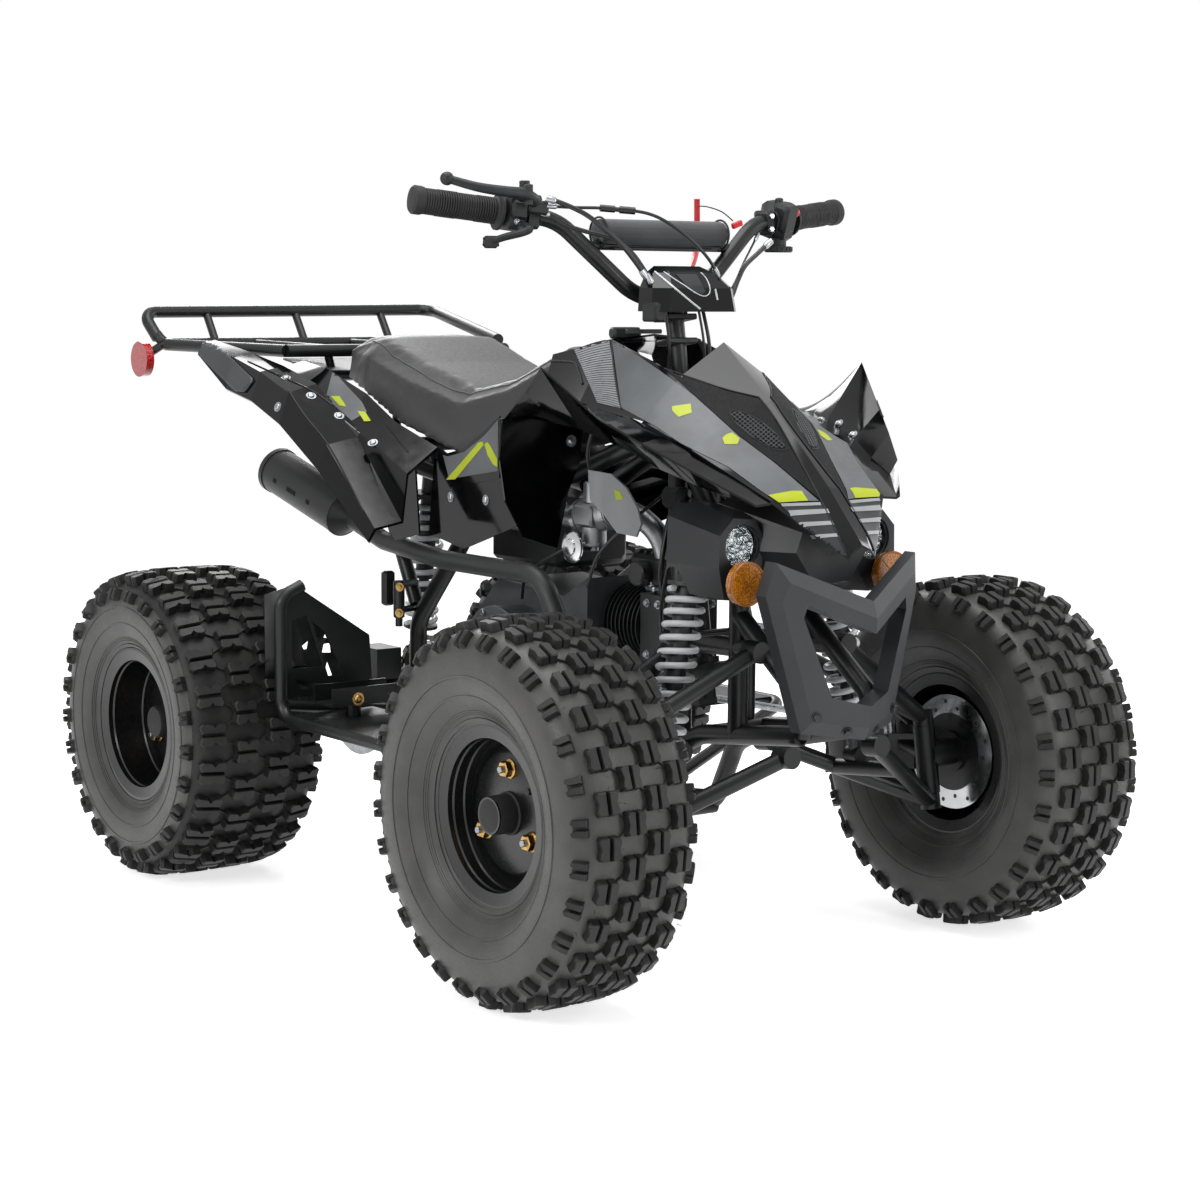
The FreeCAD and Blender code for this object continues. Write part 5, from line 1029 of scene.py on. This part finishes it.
# screws and bolts where the panels are fixed, and the lips of the fenders

screwUser = (
    # piece, panel, pixels, head and washer radius in mm, finish
    ("front_fender_screws", "front_fender_left", ((822, 420), (839, 424), (853, 435)), 4.8, 7, "brightZinc"),
    ("splash_guard_screws", "front_fender_right", ((571, 441),), 5, 8, "brightZinc"),
    ("rear_fender_screws", "rear_fender_right", ((286, 378), (311, 396), (339, 416), (373, 443), (278, 407)),
     5, 7.5, "brightZinc"),
    ("side_cover_screws", "side_covers", ((451, 497), (486, 500)), 5, 7.5, "brightZinc"),
    ("peg_bolts", "footrest_right", ((358, 699),), 6, 9.5, "goldZinc"),
)
for name, node, pixels, headMm, washerMm, finish in screwUser:
    tree, heap = panelTree(node), Heap()
    for pixel in pixels:
        hit, normal = meet(tree, *pixelRay(*pixel))
        for side in bothSides:
            heap.screw(hit * (1, side, 1), normal * (1, side, 1), headMm, washerMm)
    heap.piece(name, finish, "bare_steel", 35)
bumperTree, bumperBolts = panelTree("front_bumper"), Heap()
for acrossCm, upCm in ((6.4, 35.0), (2.4, 33.0)):
    hit, normal = meet(bumperTree, Vector(cm(80, acrossCm, upCm)), Vector((-1, 0, 0)))
    for side in bothSides:
        bumperBolts.bolt(hit * (1, side, 1), normal * (1, side, 1), 5, 3.6, 7)
bumperBolts.piece("bumper_bolts", "blackAlloy", "bare_steel", 35)
layBeads("front_fender_lip", "front_fender_right", "glossAbs",
         (((541, 364), (562, 380), (598, 418), (640, 437), (679, 455), (741, 492), (764, 500)),), 1.5, 0.3, 60)
layBeads("splash_lip", "front_fender_right", "glossAbs",
         (((503, 412), (500, 440), (500, 480), (512, 525), (545, 544)),), 1.6, 0.4, 40)
layBeads("rear_fender_edges", "rear_fender_right", "glossAbs", rearUser["edges"], 1.3, 0.3, 60)
Heap().tube(cm((-73.8, -26.7, 79.6), (-73.4, -26.3, 78.9), (-72.7, -25.6, 78)), 8.6, 20).piece(
    "rack_corner_weld", "powderCoat", "frame_black", 40)
print("stage: screws and lips")


# side panels: the upper part that closes the gap below the seat, with its grey film and lime chevron

sideUser = {
    "panel": ((437, 446), (446, 453.5), (462, 449), (482, 433), (499, 416), (502, 442), (499, 478), (450, 488),
              (439, 470)),
    "film": ((443, 455), (447, 456.5), (464, 452), (484, 436), (498, 420), (497.5, 471), (449, 479)),
    "chevron": (((446.0, 479.8), (478.3, 442.6), (482.5, 441.5), (483.4, 445.2), (455, 479.3)),
                ((484.5, 444.2), (486.8, 442.2), (489, 444), (497, 459), (497.4, 467), (493, 464.5),
                 (487.5, 455))),
}
Heap().plate(sideUser["panel"], -13.75, 3).piece("side_panel_upper", "glossAbs", "black_plastic", 30)
Heap().plate(sideUser["film"], -13.81, 0.5).piece("side_grey_film", "greyVinyl", "panel_grey", 30)
chevron = Heap()
for leg in sideUser["chevron"]:
    chevron.plate(leg, -13.87, 0.5)
chevron.piece("side_lime_film", "limeVinyl", "panel_grey", 30)


def thicken(piece, thickMm):
    wall = piece.modifiers.new("wall", "SOLIDIFY")
    wall.thickness, wall.offset = thickMm * mm, -1


# tip caps of the rear fenders
thicken(layFilms("rear_fender_tip_cap", "rear_fender_right", "satinAbs", (rearUser["tip"],), 3.2, 3), 3.4)

# heel guards: the upright plate across the machine, with its small pierced marks

guardUser = {
    "aheadCm": -20.55, "thickMm": 1.6,
    "corners": ((35, 28.6), (35, 43.4), (31.6, 44.2), (20.4, 36.9), (19.9, 28.6)),
    "holes": (((326, 630), (329, 638.5), (323.6, 637.5)), ((327.3, 661), (335.6, 684.5), (321.6, 684)),
              ((347, 648), (355, 650.4), (354, 654), (347.7, 652.6)),
              ((345.7, 668.4), (351, 673), (352, 676), (348.3, 676.6)),
              ((343.6, 638), (347, 640.3), (344.6, 641.6)), ((302, 646), (308.4, 640.6), (306.2, 653.5)),
              ((301, 672), (308.5, 668), (307.5, 681)), ((323.8, 644), (330, 643), (331, 652.5), (322, 652.5))),
}
holes = [np.array([spotAhead(*pixel, guardUser["aheadCm"])[1:] * (-1, 1) for pixel in hole])
         for hole in guardUser["holes"]]
flat, rings = [], []
for outline in (np.array(guardUser["corners"]) / 100, *holes):
    rings += [[len(flat) + i, len(flat) + (i + 1) % len(outline)] for i in range(len(outline))]
    flat += [Vector(p) for p in outline]
found, _, faces, _, _, _ = delaunay_2d_cdt(flat, rings, [], 1, 1e-6)
middles = np.array([np.mean([found[i] for i in face], axis=0) for face in faces])
pierced = np.any([inside(middles, hole) for hole in holes], axis=0)
solid = [list(face) for face, gone in zip(faces, pierced) if not gone]
guards = Heap()
for side in bothSides:
    guards.add([(guardUser["aheadCm"] / 100, p.x * side, p.y) for p in found], solid, side < 0)
thicken(guards.piece("heel_guard_faces", "mattPoly", "frame_black", 30, closed=False), guardUser["thickMm"])

# rear brake cylinder and the regulator beside it, on the near side of the frame
cylinder, cylinderBolts = Heap(), Heap()
cylinder.block(spotAt(388, 588, -13), upward, (0, 1, 0), 26, 7, 9, 3)
cylinder.turned([(-36, 0), (-36, 5.5), (-24, 5.5), (-22, 8.5), (30, 8.5), (32, 7), (32, 0)],
                spotAt(399, 602, -14), upward, 20)
for down in (585, 610):
    near, farEnd = spotAt(399, down, -13.6), spotAt(416, down - 3, -9.5)
    cylinder.tube([near, (near + farEnd) / 2, farEnd], 5, 10)
for right, down in ((400, 587), (399.5, 613)):
    cylinderBolts.bolt(spotAt(right, down, -14.9), (0.5, -0.85, 0), 4.6, 3.4, 6.5)
cylinder.piece("rear_brake_cylinder", "blackAlloy", "frame_black", 35)
cylinderBolts.piece("rear_cylinder_bolts", "goldZinc", "bare_steel", 35)
print("stage: side panels")


# bars: ribbed grips, levers, switch boxes and cables, all turning with the steering

barUser = {
    "end": (15.9, 36.0, 98.6), "bend": (20.5, 16.8, 96.4), "grip": 118, "gripRadius": 16.8, "flange": 24.5,
    "ribStep": 3.4,
}
barEnd = cm(*barUser["end"])
outWay = unit(barEnd - cm(*barUser["bend"]))
rightWay = outWay * (1, -1, 1)


def onBar(side, inwardMm, up=0.0, forward=0.0):
    # a place on the bar, measured inward from the grip's root, then off the bar
    spot = barEnd - outWay * (barUser["grip"] + inwardMm) * mm
    return spot * (1, side, 1) + np.array([forward, 0, up]) * mm


# grips: collar, four ribbed sections with grooves between them, rounded end
r, flange, step = barUser["gripRadius"], barUser["flange"], barUser["ribStep"]
profile = [(-0.2, 11.4), (-0.2, flange), (3.6, flange), (4.6, flange - 1.4), (5.4, r + 2)]
for start in np.arange(7, 104, step):
    high = r + (0.2 if int((start - 7) // 27) % 2 else 0.7)
    profile += [(start, high), (start + step * 0.55, high), (start + step * 0.7, r - 0.9),
                (start + step * 0.85, r - 0.9)]
profile += [(106, r + 0.8), (110, r + 1.9), (119, r + 1.9), (121.4, r - 0.4), (122, r - 4), (122, 0)]
grips = Heap()
for side in bothSides:
    grips.turned(profile, onBar(side, 0), outWay * (1, side, 1), 40)
grips.piece("ribbed_grips", "gripRubber", "grip_rubber", 30, "steering", ("grips",))

# right controls: throttle housing of two bevelled shells with a screw boss, the lever perch, lever and thumb lever
right = Heap()
for place, sizes in (((18,), (15, 21, 22, 5)), ((18, 4, 12), (12, 15, 12, 4)), ((44,), (11, 15, 17, 4)),
                     ((40, 10, 20), (14, 12, 9, 3)), ((30, 20, 18), (17, 8, 6, 2.5))):
    right.block(onBar(-1, *place), rightWay, upward, *sizes)
right.turned([(0, 0), (0, 6.5), (9, 6.5), (9, 4.5), (14, 4.5), (14, 7), (22, 7), (23, 6), (23, 0)],
             onBar(-1, 27, 20, 14), upward, 20)
perch, tip = cm(23.6, -24, 99.4), cm(20.6, -34, 101.2)
lever = smoothCurve([perch + (-0.006, 0.02, -0.008), perch, cm(23.4, -27, 99.7), cm(22.4, -30.6, 100.2),
                     tip], 40)
right.tube(lever, np.interp(np.linspace(0, 1, 40), (0, 0.3, 0.6, 1), (9, 8, 6.6, 5.2)), 14)
ball = np.linspace(-np.pi / 2, np.pi / 2, 11)
right.turned(8.9 * np.stack([np.sin(ball), np.cos(ball)], 1), tip, (0, 1, 0), 20)
right.turned(hexProfile(6, 26, 1), perch + (0, 0.006, -0.013), upward, 6)
thumb = smoothCurve([onBar(-1, 20, -14, 4), spotAt(529, 228, -23.5), spotAt(524, 232, -24.5),
                     spotAt(505, 237, -27), spotAt(493, 241, -28.3)], 30)
right.tube(thumb, np.linspace(6, 4.4, 30), 10)
right.block(spotAt(491, 242, -28.5), (-0.25, -0.97, 0), (0.3, 0, 1), 11, 4, 8, 3.5)
right.piece("right_controls", "mattPoly", "black_plastic", 35, "steering", ("controls_right",))

# left controls: faceted switch box with a rounded back, the cable clamp and the knurled dial below
left = Heap().block(onBar(1, 22), outWay, (0.35, 0, 1), 19, 24, 25, 9)
left.block(onBar(1, 22, 4, 15), outWay, (0.35, 0, 1), 15, 14, 20, 5)
left.turned(roundProfile(6, 8, 3), onBar(1, 22, 24, 4), upward, 16)
left.turned([(-46, 0), (-46, 18.6), (-44, 19.4), (-39, 19.4), (-37.5, 18), (-37.5, 11), (-20, 11), (-20, 0)],
            onBar(1, 22, 2, 4), upward, 32)
for turn in np.radians(range(0, 360, 20)):
    knurl = np.array([math.cos(turn), math.sin(turn), 0])
    left.block(onBar(1, 22, -39.5, 4) + knurl * 19.3 * mm, upward, knurl, 3.2, 1.4, 0.9, 0.4)
left.block(onBar(1, 52), outWay, upward, 7, 15, 17, 4)
left.piece("left_controls", "mattPoly", "black_plastic", 35, "steering", ("controls_left",))

screws = Heap()
for up in (9, -9):
    screws.turned(hexProfile(4.2, 6, 0.8), onBar(1, 52, up, 13), (1, -0.2, 0), 6)
for inward, up in ((12, 12), (12, -12), (44, 8)):
    screws.screw(onBar(-1, inward, up, 21), (1, -0.3, 0), 3, 4)
screws.piece("control_screws", "brightZinc", "bare_steel", 35, "steering")

# cables by the photograph's pixels and a distance in cm: from the bars' middle plane, and ahead for the red strap
cableUser = {
    "strap": ((697, 199, 19.0), (697, 217, 18.8), (697, 236, 18.8), (696, 252, 19.4), (692, 266, 22.2),
              (688, 274, 24.6)),
    "routes": (
        (((549, 199, -20), (564, 204, -18.3), (585, 214, -16), (602, 227, -14), (620, 243, -11.6),
          (634, 260, -9.6), (648, 280, -7.6)), 3.3),
        (((546, 206, -20), (575, 207.5, -16.3), (600, 208, -13.2), (635, 211, -9), (655, 216, -6.6),
          (673, 226, -4.4), (690, 239, -2.2), (702, 251, -0.4), (712, 264, 1.4), (720, 280, 3)), 2.2),
        (((543, 213, -20), (553, 217, -18.8), (566, 225, -17.2), (584, 231, -15.2), (610, 238, -12.2),
          (630, 251, -9.8), (643, 268, -8.2), (652, 284, -7.2)), 3.0),
        (((769, 243, 17), (757, 254, 15), (745, 266, 13), (738, 280, 11.8), (731, 298, 10), (722, 308, 8)),
         3.4),
        (((757, 236, 17.5), (750, 250, 15.8), (744, 262, 14), (734, 284, 11.4), (722, 304, 8)), 1.6)),
    "ferrules": (2, 65), "adjuster": ((600, 208, -13.2), (635, 211, -9)),
    "adjusterParts": ((0, 0.42, 4.6), (0.42, 0.56, 3.2), (0.56, 1.0, 4.8)),
    "cord": ((698, 206, 5.2), (708, 207, 6.5), (722, 212, 8.5), (733, 221, 10.2)),
}
red = Heap().turned(roundProfile(6.5, 11, 3), onBar(1, 1.5, 8, 17), (0.9, -0.3, 0.2), 20)
red.tube(smoothCurve([spotAhead(*p) for p in cableUser["strap"]], 40), 4.2, 8)
red.block(spotAt(737, 224.5, 10.5), (0, 1, 0.35), upward, 9, 3, 4, 1.5)
red.piece("kill_switch_lanyard", "redPlastic", "red_lens", 40, "steering")
cables, ferrules = Heap(), Heap()
for route, radius in cableUser["routes"]:
    path = smoothCurve([spotAt(*p) for p in route], 70)
    cables.tube(path, radius, 10)
    for i in cableUser["ferrules"]:
        ferrules.turned([(-7, 0), (-7, radius + 1), (-2, radius + 1.4), (5, radius + 1.2), (7, radius + 0.4),
                         (7, 0)], path[i], path[i + 1] - path[i - 1], 14)
first, last = (spotAt(*p) for p in cableUser["adjuster"])
way = last - first
for start, end, radius in cableUser["adjusterParts"]:
    long = np.linalg.norm(way) * (end - start) / mm
    cables.turned([(0, 0), (0, radius), (long, radius), (long, 0)], first + way * start, way, 16)
cables.tube(smoothCurve([spotAt(*p) for p in cableUser["cord"]], 24), 0.9, 6)
cables.piece("bar_cables", "cableRubber", "black_plastic", 60, "steering", ("control_cables",))
ferrules.piece("cable_ferrules", "brightZinc", "bare_steel", 40, "steering")

# bar pad: woven sleeve's end rings and the flat strap below
padTrim, padSpan = Heap(), np.array(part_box("bar_pad"))
padCentre = padSpan.mean(0)
turn = np.linspace(0, 2 * np.pi, 48, endpoint=False)
for side in bothSides:
    end = np.array([padCentre[0], side * (padSpan[1][1] - 0.004), padCentre[2]])
    padTrim.tube(end + 20.0 * mm * np.stack([np.cos(turn), 0 * turn, np.sin(turn)], 1), 1.5, 8, closed=True)
padTrim.block(padCentre + (0.004, 0, -0.0215), (0, 1, 0), upward, 88, 11, 1.6, 0.7)
padTrim.piece("bar_pad_bindings", "gripRubber", "pad_grey", 60, "steering")
print("stage: bars")


# instrument pod: hooded top with a dark window; the pale line round it and the pale lines along the lip in front
# are painted highlights

podUser = {
    "window": ((675.3, 274.4), (696.3, 274.4), (705.2, 291.5), (702, 294), (694.4, 291.6), (684.8, 284.4)),
    "ring": ((664, 272), (674, 279), (685, 286), (696, 293.2), (704, 296.2), (709, 293.5), (709.6, 287),
             (706, 278.5), (701, 273)),
    "edges": (((655, 272), (666, 281), (678, 291), (690, 301), (700, 309)), ((715, 289), (717.3, 300))),
}
layFilms("pod_window", "instrument_pod", "darkVinyl", (podUser["window"],), 0.8, 2.0, "black_plastic",
         "steering", (1,))
# pale beads in the spring's pale coat: painted highlights round the window and along the near edges
for name, lines, radius, lift, count in (("pod_painted_highlight_ring", (podUser["ring"],), 0.8, 0.4, 60),
                                         ("pod_painted_highlight_edges", podUser["edges"], 1.5, 0.2, 40)):
    layBeads(name, "instrument_pod", "springCoat", lines, radius, lift, count, body="steering", sides=(1,))
print("stage: pod")


# engine room: cover rings, bolts, domed disc, shroud and the exhaust shield

engineUser = {"cover": (0, -12.0, 35), "coverOuter": 79, "boltCircle": 72, "magneto": (2, 12.0, 35),
              "magnetoOuter": 71, "magnetoBolts": 64}
outRight = np.array([0, -1.0, 0])
covers, bolts = Heap(), Heap()
for spot, side, outer, circle in ((engineUser["cover"], outRight, engineUser["coverOuter"],
                                   engineUser["boltCircle"]),
                                  (engineUser["magneto"], -outRight, engineUser["magnetoOuter"],
                                   engineUser["magnetoBolts"])):
    # stepped rings and a domed middle, as cast and turned; the left cover is 8 mm smaller, its middle 6 mm
    less = 79 - outer
    spot = cm(*spot)
    covers.turned([(-1, 20), (-1, outer), (2, outer), (3.4, outer - 2), (3.4, outer - 13), (6, outer - 16),
                   (8, outer - 19), (8, 44 - less), (5, 41 - less), (5, 30 - less * 0.75),
                   (11, 26 - less * 0.75), (13, 18 - less * 0.75), (13.6, 0)], spot, side, 72)
    for turn in range(20, 380, 45):
        bolts.turned(hexProfile(5, 6, 0.8), spot + spoke(turn) * circle * mm + side * 3 * mm, side, 6)
covers.piece("crankcase_covers", "coverAlloy", "cast_alloy", 30)
bolts.piece("cover_bolts", "brightZinc", "bare_steel", 35)

# domed chrome disc beside the cylinder head on a short boss
Heap().turned([(-34, 0), (-34, 8), (-3, 8), (-3, 21), (-1, 22.5), (1.4, 22), (2.6, 18), (3, 12), (5, 10.5),
               (5.6, 6), (6, 0)], spotAt(572, 547, -9.6), outRight, 48).piece(
    "chrome_disc", "brightAlloy", "bare_steel", 30)

# intake: flange plate, clamp bands and the bolts on the elbow
bands, flanges = Heap(), Heap()
for spot, way, radius in (((26.1, -2.1, 48.0), (0.06, -0.06, 1), 17.5),
                          ((18.4, -5.4, 57.3), (-0.97, -0.05, -0.2), 25.5),
                          ((12.6, -6, 56.1), (-0.97, -0.05, -0.2), 25.5), ((4.4, -6, 56), (1, 0, 0), 31)):
    bands.turned([(-4, radius - 3), (-4, radius), (4, radius), (4, radius - 3), (-4, radius - 3)], cm(*spot),
                 way, 36)
flanges.block(cm(26.0, -2, 47.4), (0.2, 1, 0), upward, 27, 13, 4, 2)
for side in bothSides:
    flanges.bolt(cm(26.0 + side * 0.4, -2 + side * 2.0, 47.7), upward, 5, 5, 7)
bands.piece("intake_clamps", "brightZinc", "bare_steel", 35)
flanges.piece("intake_flange", "castAlloy", "cast_alloy", 35)

# cylinder head: cover screws in front and on the side
headBolts = Heap()
for up in (-3.4, 3.4):
    for acrossCm in (-3.4, 3.4):
        headBolts.bolt(cm(28.8, acrossCm, 41.8 + up), ahead, 5.5, 5, 7.5)
for along, up in ((25.2, 45.4), (27.6, 45.4), (25.2, 38.4), (27.6, 38.4)):
    headBolts.bolt(cm(along, -4.6, up), outRight, 4.2, 4, 6)
headBolts.piece("head_bolts", "brightZinc", "bare_steel", 35)

# grey shroud below the hood, with its lime patch
Heap().plate(((588, 470), (611, 474), (626, 488), (637, 508), (641, 524), (636, 537), (617, 533), (603, 514),
              (590, 500)), -10.9, 3).piece("engine_shroud", "shroudPaint", "panel_grey", 30)
Heap().plate(((614, 489), (620, 492), (623, 499), (616, 500)), -10.96, 0.6).piece(
    "shroud_patch", "limeVinyl", "panel_grey", 30)

# muffler: outer heat shield with two round holes and a slot as flat blocks of painted shade on its skin, end cap
# ring
start, end = cm(-36.9, -13, 52.4), cm(-55.6, -15.2, 58.7)
way, length = unit(end - start), np.linalg.norm(end - start)
long = length / mm
shield = Heap().turned([(long - 6, 30), (long - 6, 36.4), (long + 2, 36.4), (long + 5, 34), (long + 5, 24),
                        (long + 1, 20), (long + 1, 0)], start, way, 56)
shield.turned([(18, 30), (18, 36.0), (24, 36.0), (24, 30), (18, 30)], start, way, 56)
shield.piece("muffler_bands", "exhaustPaint", "exhaust_black", 30)
outSide, slots = unit(np.cross(way, upward)), Heap()
outSide *= -np.sign(outSide[1])
# the holes and the slot are dark blocks on the surface: painted shade, not openings
for share, longMm in ((0.36, 4), (0.58, 11.5), (0.8, 4)):
    slots.block(start + way * length * share + outSide * 34.8 * mm, way, outSide, longMm, 3.5, 0.9, 0.5)
slots.piece("muffler_slots_painted_shade", "paintedShadeBlack", "exhaust_black", 40)
print("stage: engine")


# engine room fill: air box, rocker cover, carburettor bowl, hoses and wiring

roomUser = {
    "rakeDeg": 9, "columnAt": (25, 81.5),
    # blocks as grid place and half sizes with the bevel in mm
    "air_box": (((-1.5, 0, 52.5), (85, 62, 40, 8)), ((30.5, -4, 60), (22, 14, 14, 8)),
                ((-1.5, 0, 56.6), (88, 65, 4, 2))),
    # hoses and wires as routes on the grid with their radius in mm
    "engine_hoses": (
        (((15.2, -6.2, 61), (16, -8, 65), (19, -8.6, 69.5), (22, -5, 73)), 2.6),
        (((28.8, -4.6, 46), (31, -7, 50), (31, -6, 56), (30.5, -4.4, 59)), 3.6),
        (((14, -8, 53), (9, -10, 50), (4, -9.8, 47), (2, -9, 44)), 2.8),
        (((27, 3, 68), (28, -2, 62), (26, -7.6, 57), (20, -8.8, 52), (17, -8.6, 47)), 2.4),
        (((31, 4, 66), (33, -3, 60), (34, -7.6, 53), (33, -8.4, 46), (30, -6, 41)), 2.2),
        (((27, 5, 68), (28, 7, 60), (24, 8.6, 52), (16, 8.6, 46)), 3.0)),
    "column_wires": (
        (((27.5, -4, 85), (27.8, -3.4, 80), (27, -3.2, 76), (26.6, -3.4, 72)), 2.2),
        (((26.5, 3.2, 85), (27.6, 3.6, 80), (27.4, 3.4, 76), (27.2, 3.2, 72)), 2.6),
        (((28.6, 0.8, 85), (29.2, 1.4, 80), (28.6, 1.8, 75), (28.2, 1.8, 71)), 1.8)),
    # from the frame to the front calipers
    "brake_hoses": tuple((tuple((x, y * side, z) for x, y, z in (
        (46, 8, 44), (44, 14, 43), (41, 20, 38), (40, 26, 31), (41, 29, 28))), 2.8) for side in bothSides),
}


def layHoses(name, count, around, body):
    hoses = Heap()
    for route, radius in roomUser[name]:
        hoses.tube(smoothCurve(cm(*route), count), radius, around)
    hoses.piece(name, "cableRubber", "black_plastic", 60, body)


boxes = Heap()
for place, sizes in roomUser["air_box"]:
    boxes.block(cm(*place), ahead, upward, *sizes)
boxes.piece("air_box", "mattPoly", "black_plastic", 35)
rocker = Heap().block(cm(24.4, 0, 49.6), ahead, upward, 38, 44, 22, 7)
for index in range(5):
    rocker.block(cm(21.4 + index * 1.5, 0, 52.0), (0, 1, 0), upward, 34, 2.2, 3, 1)
rocker.turned([(0, 0), (0, 17), (18, 17), (20, 15), (20, 0)], cm(24.4, -4.2, 49.4), outRight, 28)
rocker.piece("rocker_cover", "blackAlloy", "cast_alloy", 35)
carb = Heap().turned([(0, 0), (0, 17), (22, 17), (26, 14), (28, 6), (33, 6), (33, 0)], cm(15.2, -6.2, 55),
                     -upward, 28)
carb.turned([(0, 0), (0, 15), (26, 15), (28, 13), (28, 9), (36, 9), (36, 0)], cm(15.2, -6.2, 58.4), upward, 28)
carb.block(cm(15.2, -6.2, 56.6), ahead, upward, 20, 22, 14, 3)
carb.piece("carburettor", "castAlloy", "cast_alloy", 35)
layHoses("engine_hoses", 50, 10, "chassis")

# steering head: clamp plates round the column, and the ignition housing beside it
head, rake = Heap(), math.tan(math.radians(roomUser["rakeDeg"]))
columnWay = unit((-rake, 0, 1))
columnAhead, columnUp = roomUser["columnAt"]
for up, half in ((83.6, 26), (80.4, 24)):
    head.block(cm(columnAhead - (up - columnUp) * rake, 0, up), (0, 1, 0), columnWay, half, 17, 4, 2)
for acrossCm in (-1.9, 1.9):
    head.turned(hexProfile(5.5, 8, 1), cm(24.2, acrossCm, 83.9), columnWay, 6)
head.piece("steering_clamps", "blackAlloy", "frame_black", 35, "steering")
housing = Heap().block(spotAt(654, 312, -6.2), ahead, upward, 15, 10, 13, 3)
housing.block(cm(23.5, -4.4, 81.8), (0.2, 1, 0), upward, 26, 4, 3, 1)
housing.piece("ignition_housing", "mattPoly", "black_plastic", 35, "steering")
layHoses("column_wires", 40, 8, "steering")
Heap().block(spotAt(625, 333, -3.0), (0.3, 1, 0), upward, 20, 12, 8, 3).piece(
    "fuse_box", "mattPoly", "black_plastic", 35)
layHoses("brake_hoses", 40, 8, "chassis")
print("stage: engine room")
